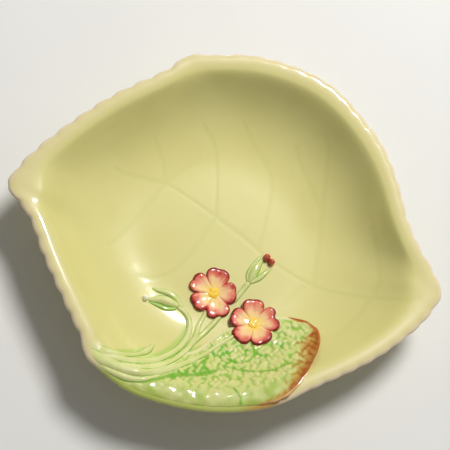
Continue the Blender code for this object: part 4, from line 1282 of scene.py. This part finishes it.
def petal_glaze():
    """Gold to crimson from the eye outwards."""
    glaze = Glaze("petal_glaze")
    out, turn, across = glaze.measure("out"), glaze.measure("turn"), glaze.measure("across")
    strokes = glaze.noise(2.0, 3.0, glaze.node("ShaderNodeCombineXYZ", None, {0: turn * 9.0, 1: out * 1.2, 2: 0.0}))
    blots = glaze.noise(110.0, 2.0)
    patches = glaze.noise(260.0, 2.0)
    level = out + (strokes - 0.5) * 0.35 + (blots - 0.5) * 0.7 + (patches - 0.5) * 0.15
    colour = glaze.ramp(level, PETAL_STOPS)
    outline = glaze.soft(out + (blots - 0.5) * 0.2 + (strokes - 0.5) * 0.06, 0.885, 0.955)
    colour = glaze.blend(outline * 0.97, colour, OUTLINE_TONE)
    between = glaze.soft(across.size(), 0.88, 1.0) * glaze.soft(out, 0.45, 0.8)
    colour = glaze.blend(between * 0.7, colour, CREASE_TONE)
    spread = glaze.noise(150.0, 1.0)
    blot = glaze.soft(spread, 0.54, 0.64) * glaze.soft(out + (strokes - 0.5) * 0.3, 0.66, 0.86)
    colour = glaze.blend(blot * 0.85, colour, BLOT_TONE)
    return glaze.finish(colour, 0.30 + patches * 0.12, strokes * 0.8 + patches * 0.4, 0.2 * MM)


# %% Flowers set on the bowl and on the leaf
LEFT_SEAT, RIGHT_SEAT = 0.0, LEAF_TOP - 0.2 * MM
petal_finish = petal_glaze()
left_flower = flower("left_flower", LEFT_FLOWER, LEFT_PETALS, LEFT_SEAT)
hand_over(left_flower, petal_finish, "petal_glaze", "left_flower_petals")
right_flower = flower("right_flower", RIGHT_FLOWER, RIGHT_PETALS, RIGHT_SEAT)
hand_over(right_flower, petal_finish, "petal_glaze", "right_flower_petals")

# %% Flower eyes: shares of the radius and heights in millimetres
EYE_RADIUS, EYE_COLUMNS = 3.3 * MM, 30
EYE_PROFILE = ((0.14, 1.5), (0.32, 1.5), (0.54, 1.42), (0.76, 1.25), (0.94, 1.0), (1.08, 0.65), (0.8, 0.1))
KNOB_HEIGHT = 0.09 * MM
EYE_STOPS = [(0.3, tone(252, 214, 78)), (0.52, tone(248, 200, 66)), (0.72, tone(224, 160, 44))]


def eye(name, centre, seat):
    """The low knobbly dome in the middle of a flower."""
    turns = np.linspace(0, math.tau, EYE_COLUMNS, endpoint=False)
    reach = EYE_RADIUS * (1 + 0.08 * np.cos(5 * turns) + 0.05 * np.cos(3 * turns + 1))
    piece = pull_rings(name, [ring_round(centre, reach * share, turns, seat + lift * MM)
                              for share, lift in EYE_PROFILE])
    smooth_over(piece, 2)
    places = read_points(piece)
    knobs = np.sin(places[:, 0] / MM * 3.6 + places[:, 1] / MM) * np.sin(places[:, 1] / MM * 3.2 + 0.6)
    write_points(piece, places + read_normals(piece) * (KNOB_HEIGHT * knobs)[:, None])
    return piece


def eye_glaze():
    """A grainy golden yellow."""
    glaze = Glaze("golden_eye_glaze")
    grains = glaze.noise(620.0, 2.0)
    return glaze.finish(glaze.ramp(grains, EYE_STOPS), 0.32 + grains * 0.1, grains, 0.3 * MM)


eye_finish = eye_glaze()
hand_over(eye("left_eye", LEFT_FLOWER, LEFT_SEAT), eye_finish, "eye_glaze", "left_flower_eye")
hand_over(eye("right_eye", RIGHT_FLOWER, RIGHT_SEAT), eye_finish, "eye_glaze", "right_flower_eye")

# %% [markdown]
# ## Floor, light and camera
#
# The dish stands on a plain pale floor. A soft lamp stands high to the upper right of the view, and an even sky
# fills the shadows. Together they light a level surface at about 1, so that a colour renders about as it is
# written. A smaller lamp in the same place is seen only in the glaze, to which it gives crisp glints.

# %% Floor
FLOOR_SIZE, FLOOR_TONES = 6.0, (tone(226, 224, 219), tone(231, 229, 224))
deselect_all()
bpy.ops.mesh.primitive_plane_add(size=FLOOR_SIZE)
floor = bpy.context.object
floor.name = "floor"
floor_paint = Glaze("floor_paint", roughness=0.9, coat=0.0)
floor.data.materials.append(floor_paint.finish(floor_paint.blend(floor_paint.noise(12.0, 2.0), *FLOOR_TONES)))

# %% Camera: the way back from the dish to it, the turn of the picture, and the lens in pixels of the picture
BACK = Vector((-0.09183749, -0.28975876, 0.95268344)).normalized()
TURN = math.radians(14.61)
RIGHT = Vector((math.cos(TURN), math.sin(TURN), 0))
RIGHT = (RIGHT - BACK * RIGHT.dot(BACK)).normalized()
UP = BACK.cross(RIGHT)
TARGET = Vector((-0.00262, -0.00668, 0.040))
CAMERA_DISTANCE = 0.60
FOCAL_PIXELS, SHIFT_PIXELS, IMAGE_PIXELS, SENSOR = 1084.5, 10, 450, 36.0
camera_data = bpy.data.cameras.new("camera")
camera_data.sensor_width = SENSOR
camera_data.lens = FOCAL_PIXELS / IMAGE_PIXELS * SENSOR
camera_data.shift_y = SHIFT_PIXELS / IMAGE_PIXELS
camera = bpy.data.objects.new("camera", camera_data)
bpy.context.scene.collection.objects.link(camera)
view_turn = Matrix((RIGHT, UP, BACK)).transposed().to_4x4()
camera.matrix_world = Matrix.Translation(TARGET + BACK * CAMERA_DISTANCE) @ view_turn
bpy.context.scene.camera = camera
print(f"lens: {camera_data.lens:.1f} mm on a {SENSOR:.0f} mm sensor")

# %% Lamps and sky
KEY_LEVEL, GLINT_LEVEL, SKY_LEVEL = 0.98, 2.2, 0.21
KEY_WAY = (RIGHT * 0.41 + UP * 0.64 + BACK * 0.65).normalized()
KEY_DISTANCE, KEY_SIZE, GLINT_SIZE = 1.3, 0.42, 0.09


def lamp(name, size, level):
    """A round lamp on the key's way that shines on the dish's middle and lights it to this level."""
    data = bpy.data.lights.new(name, "AREA")
    data.shape = "DISK"
    data.size = size
    data.energy = level * math.pi ** 2 * KEY_DISTANCE ** 2
    lamp_object = bpy.data.objects.new(name, data)
    bpy.context.scene.collection.objects.link(lamp_object)
    lamp_object.location = TARGET + KEY_WAY * KEY_DISTANCE
    lamp_object.rotation_euler = KEY_WAY.to_track_quat("Z", "Y").to_euler()
    return lamp_object


lamp("key_lamp", KEY_SIZE, KEY_LEVEL).visible_glossy = False
lamp("glint_lamp", GLINT_SIZE, GLINT_LEVEL).visible_diffuse = False
world = bpy.data.worlds.new("sky")
bpy.context.scene.world = world
world.use_nodes = True
world.node_tree.nodes["Background"].inputs["Color"].default_value = (1, 1, 1, 1)
world.node_tree.nodes["Background"].inputs["Strength"].default_value = SKY_LEVEL
bpy.context.scene.view_settings.view_transform = "Standard"
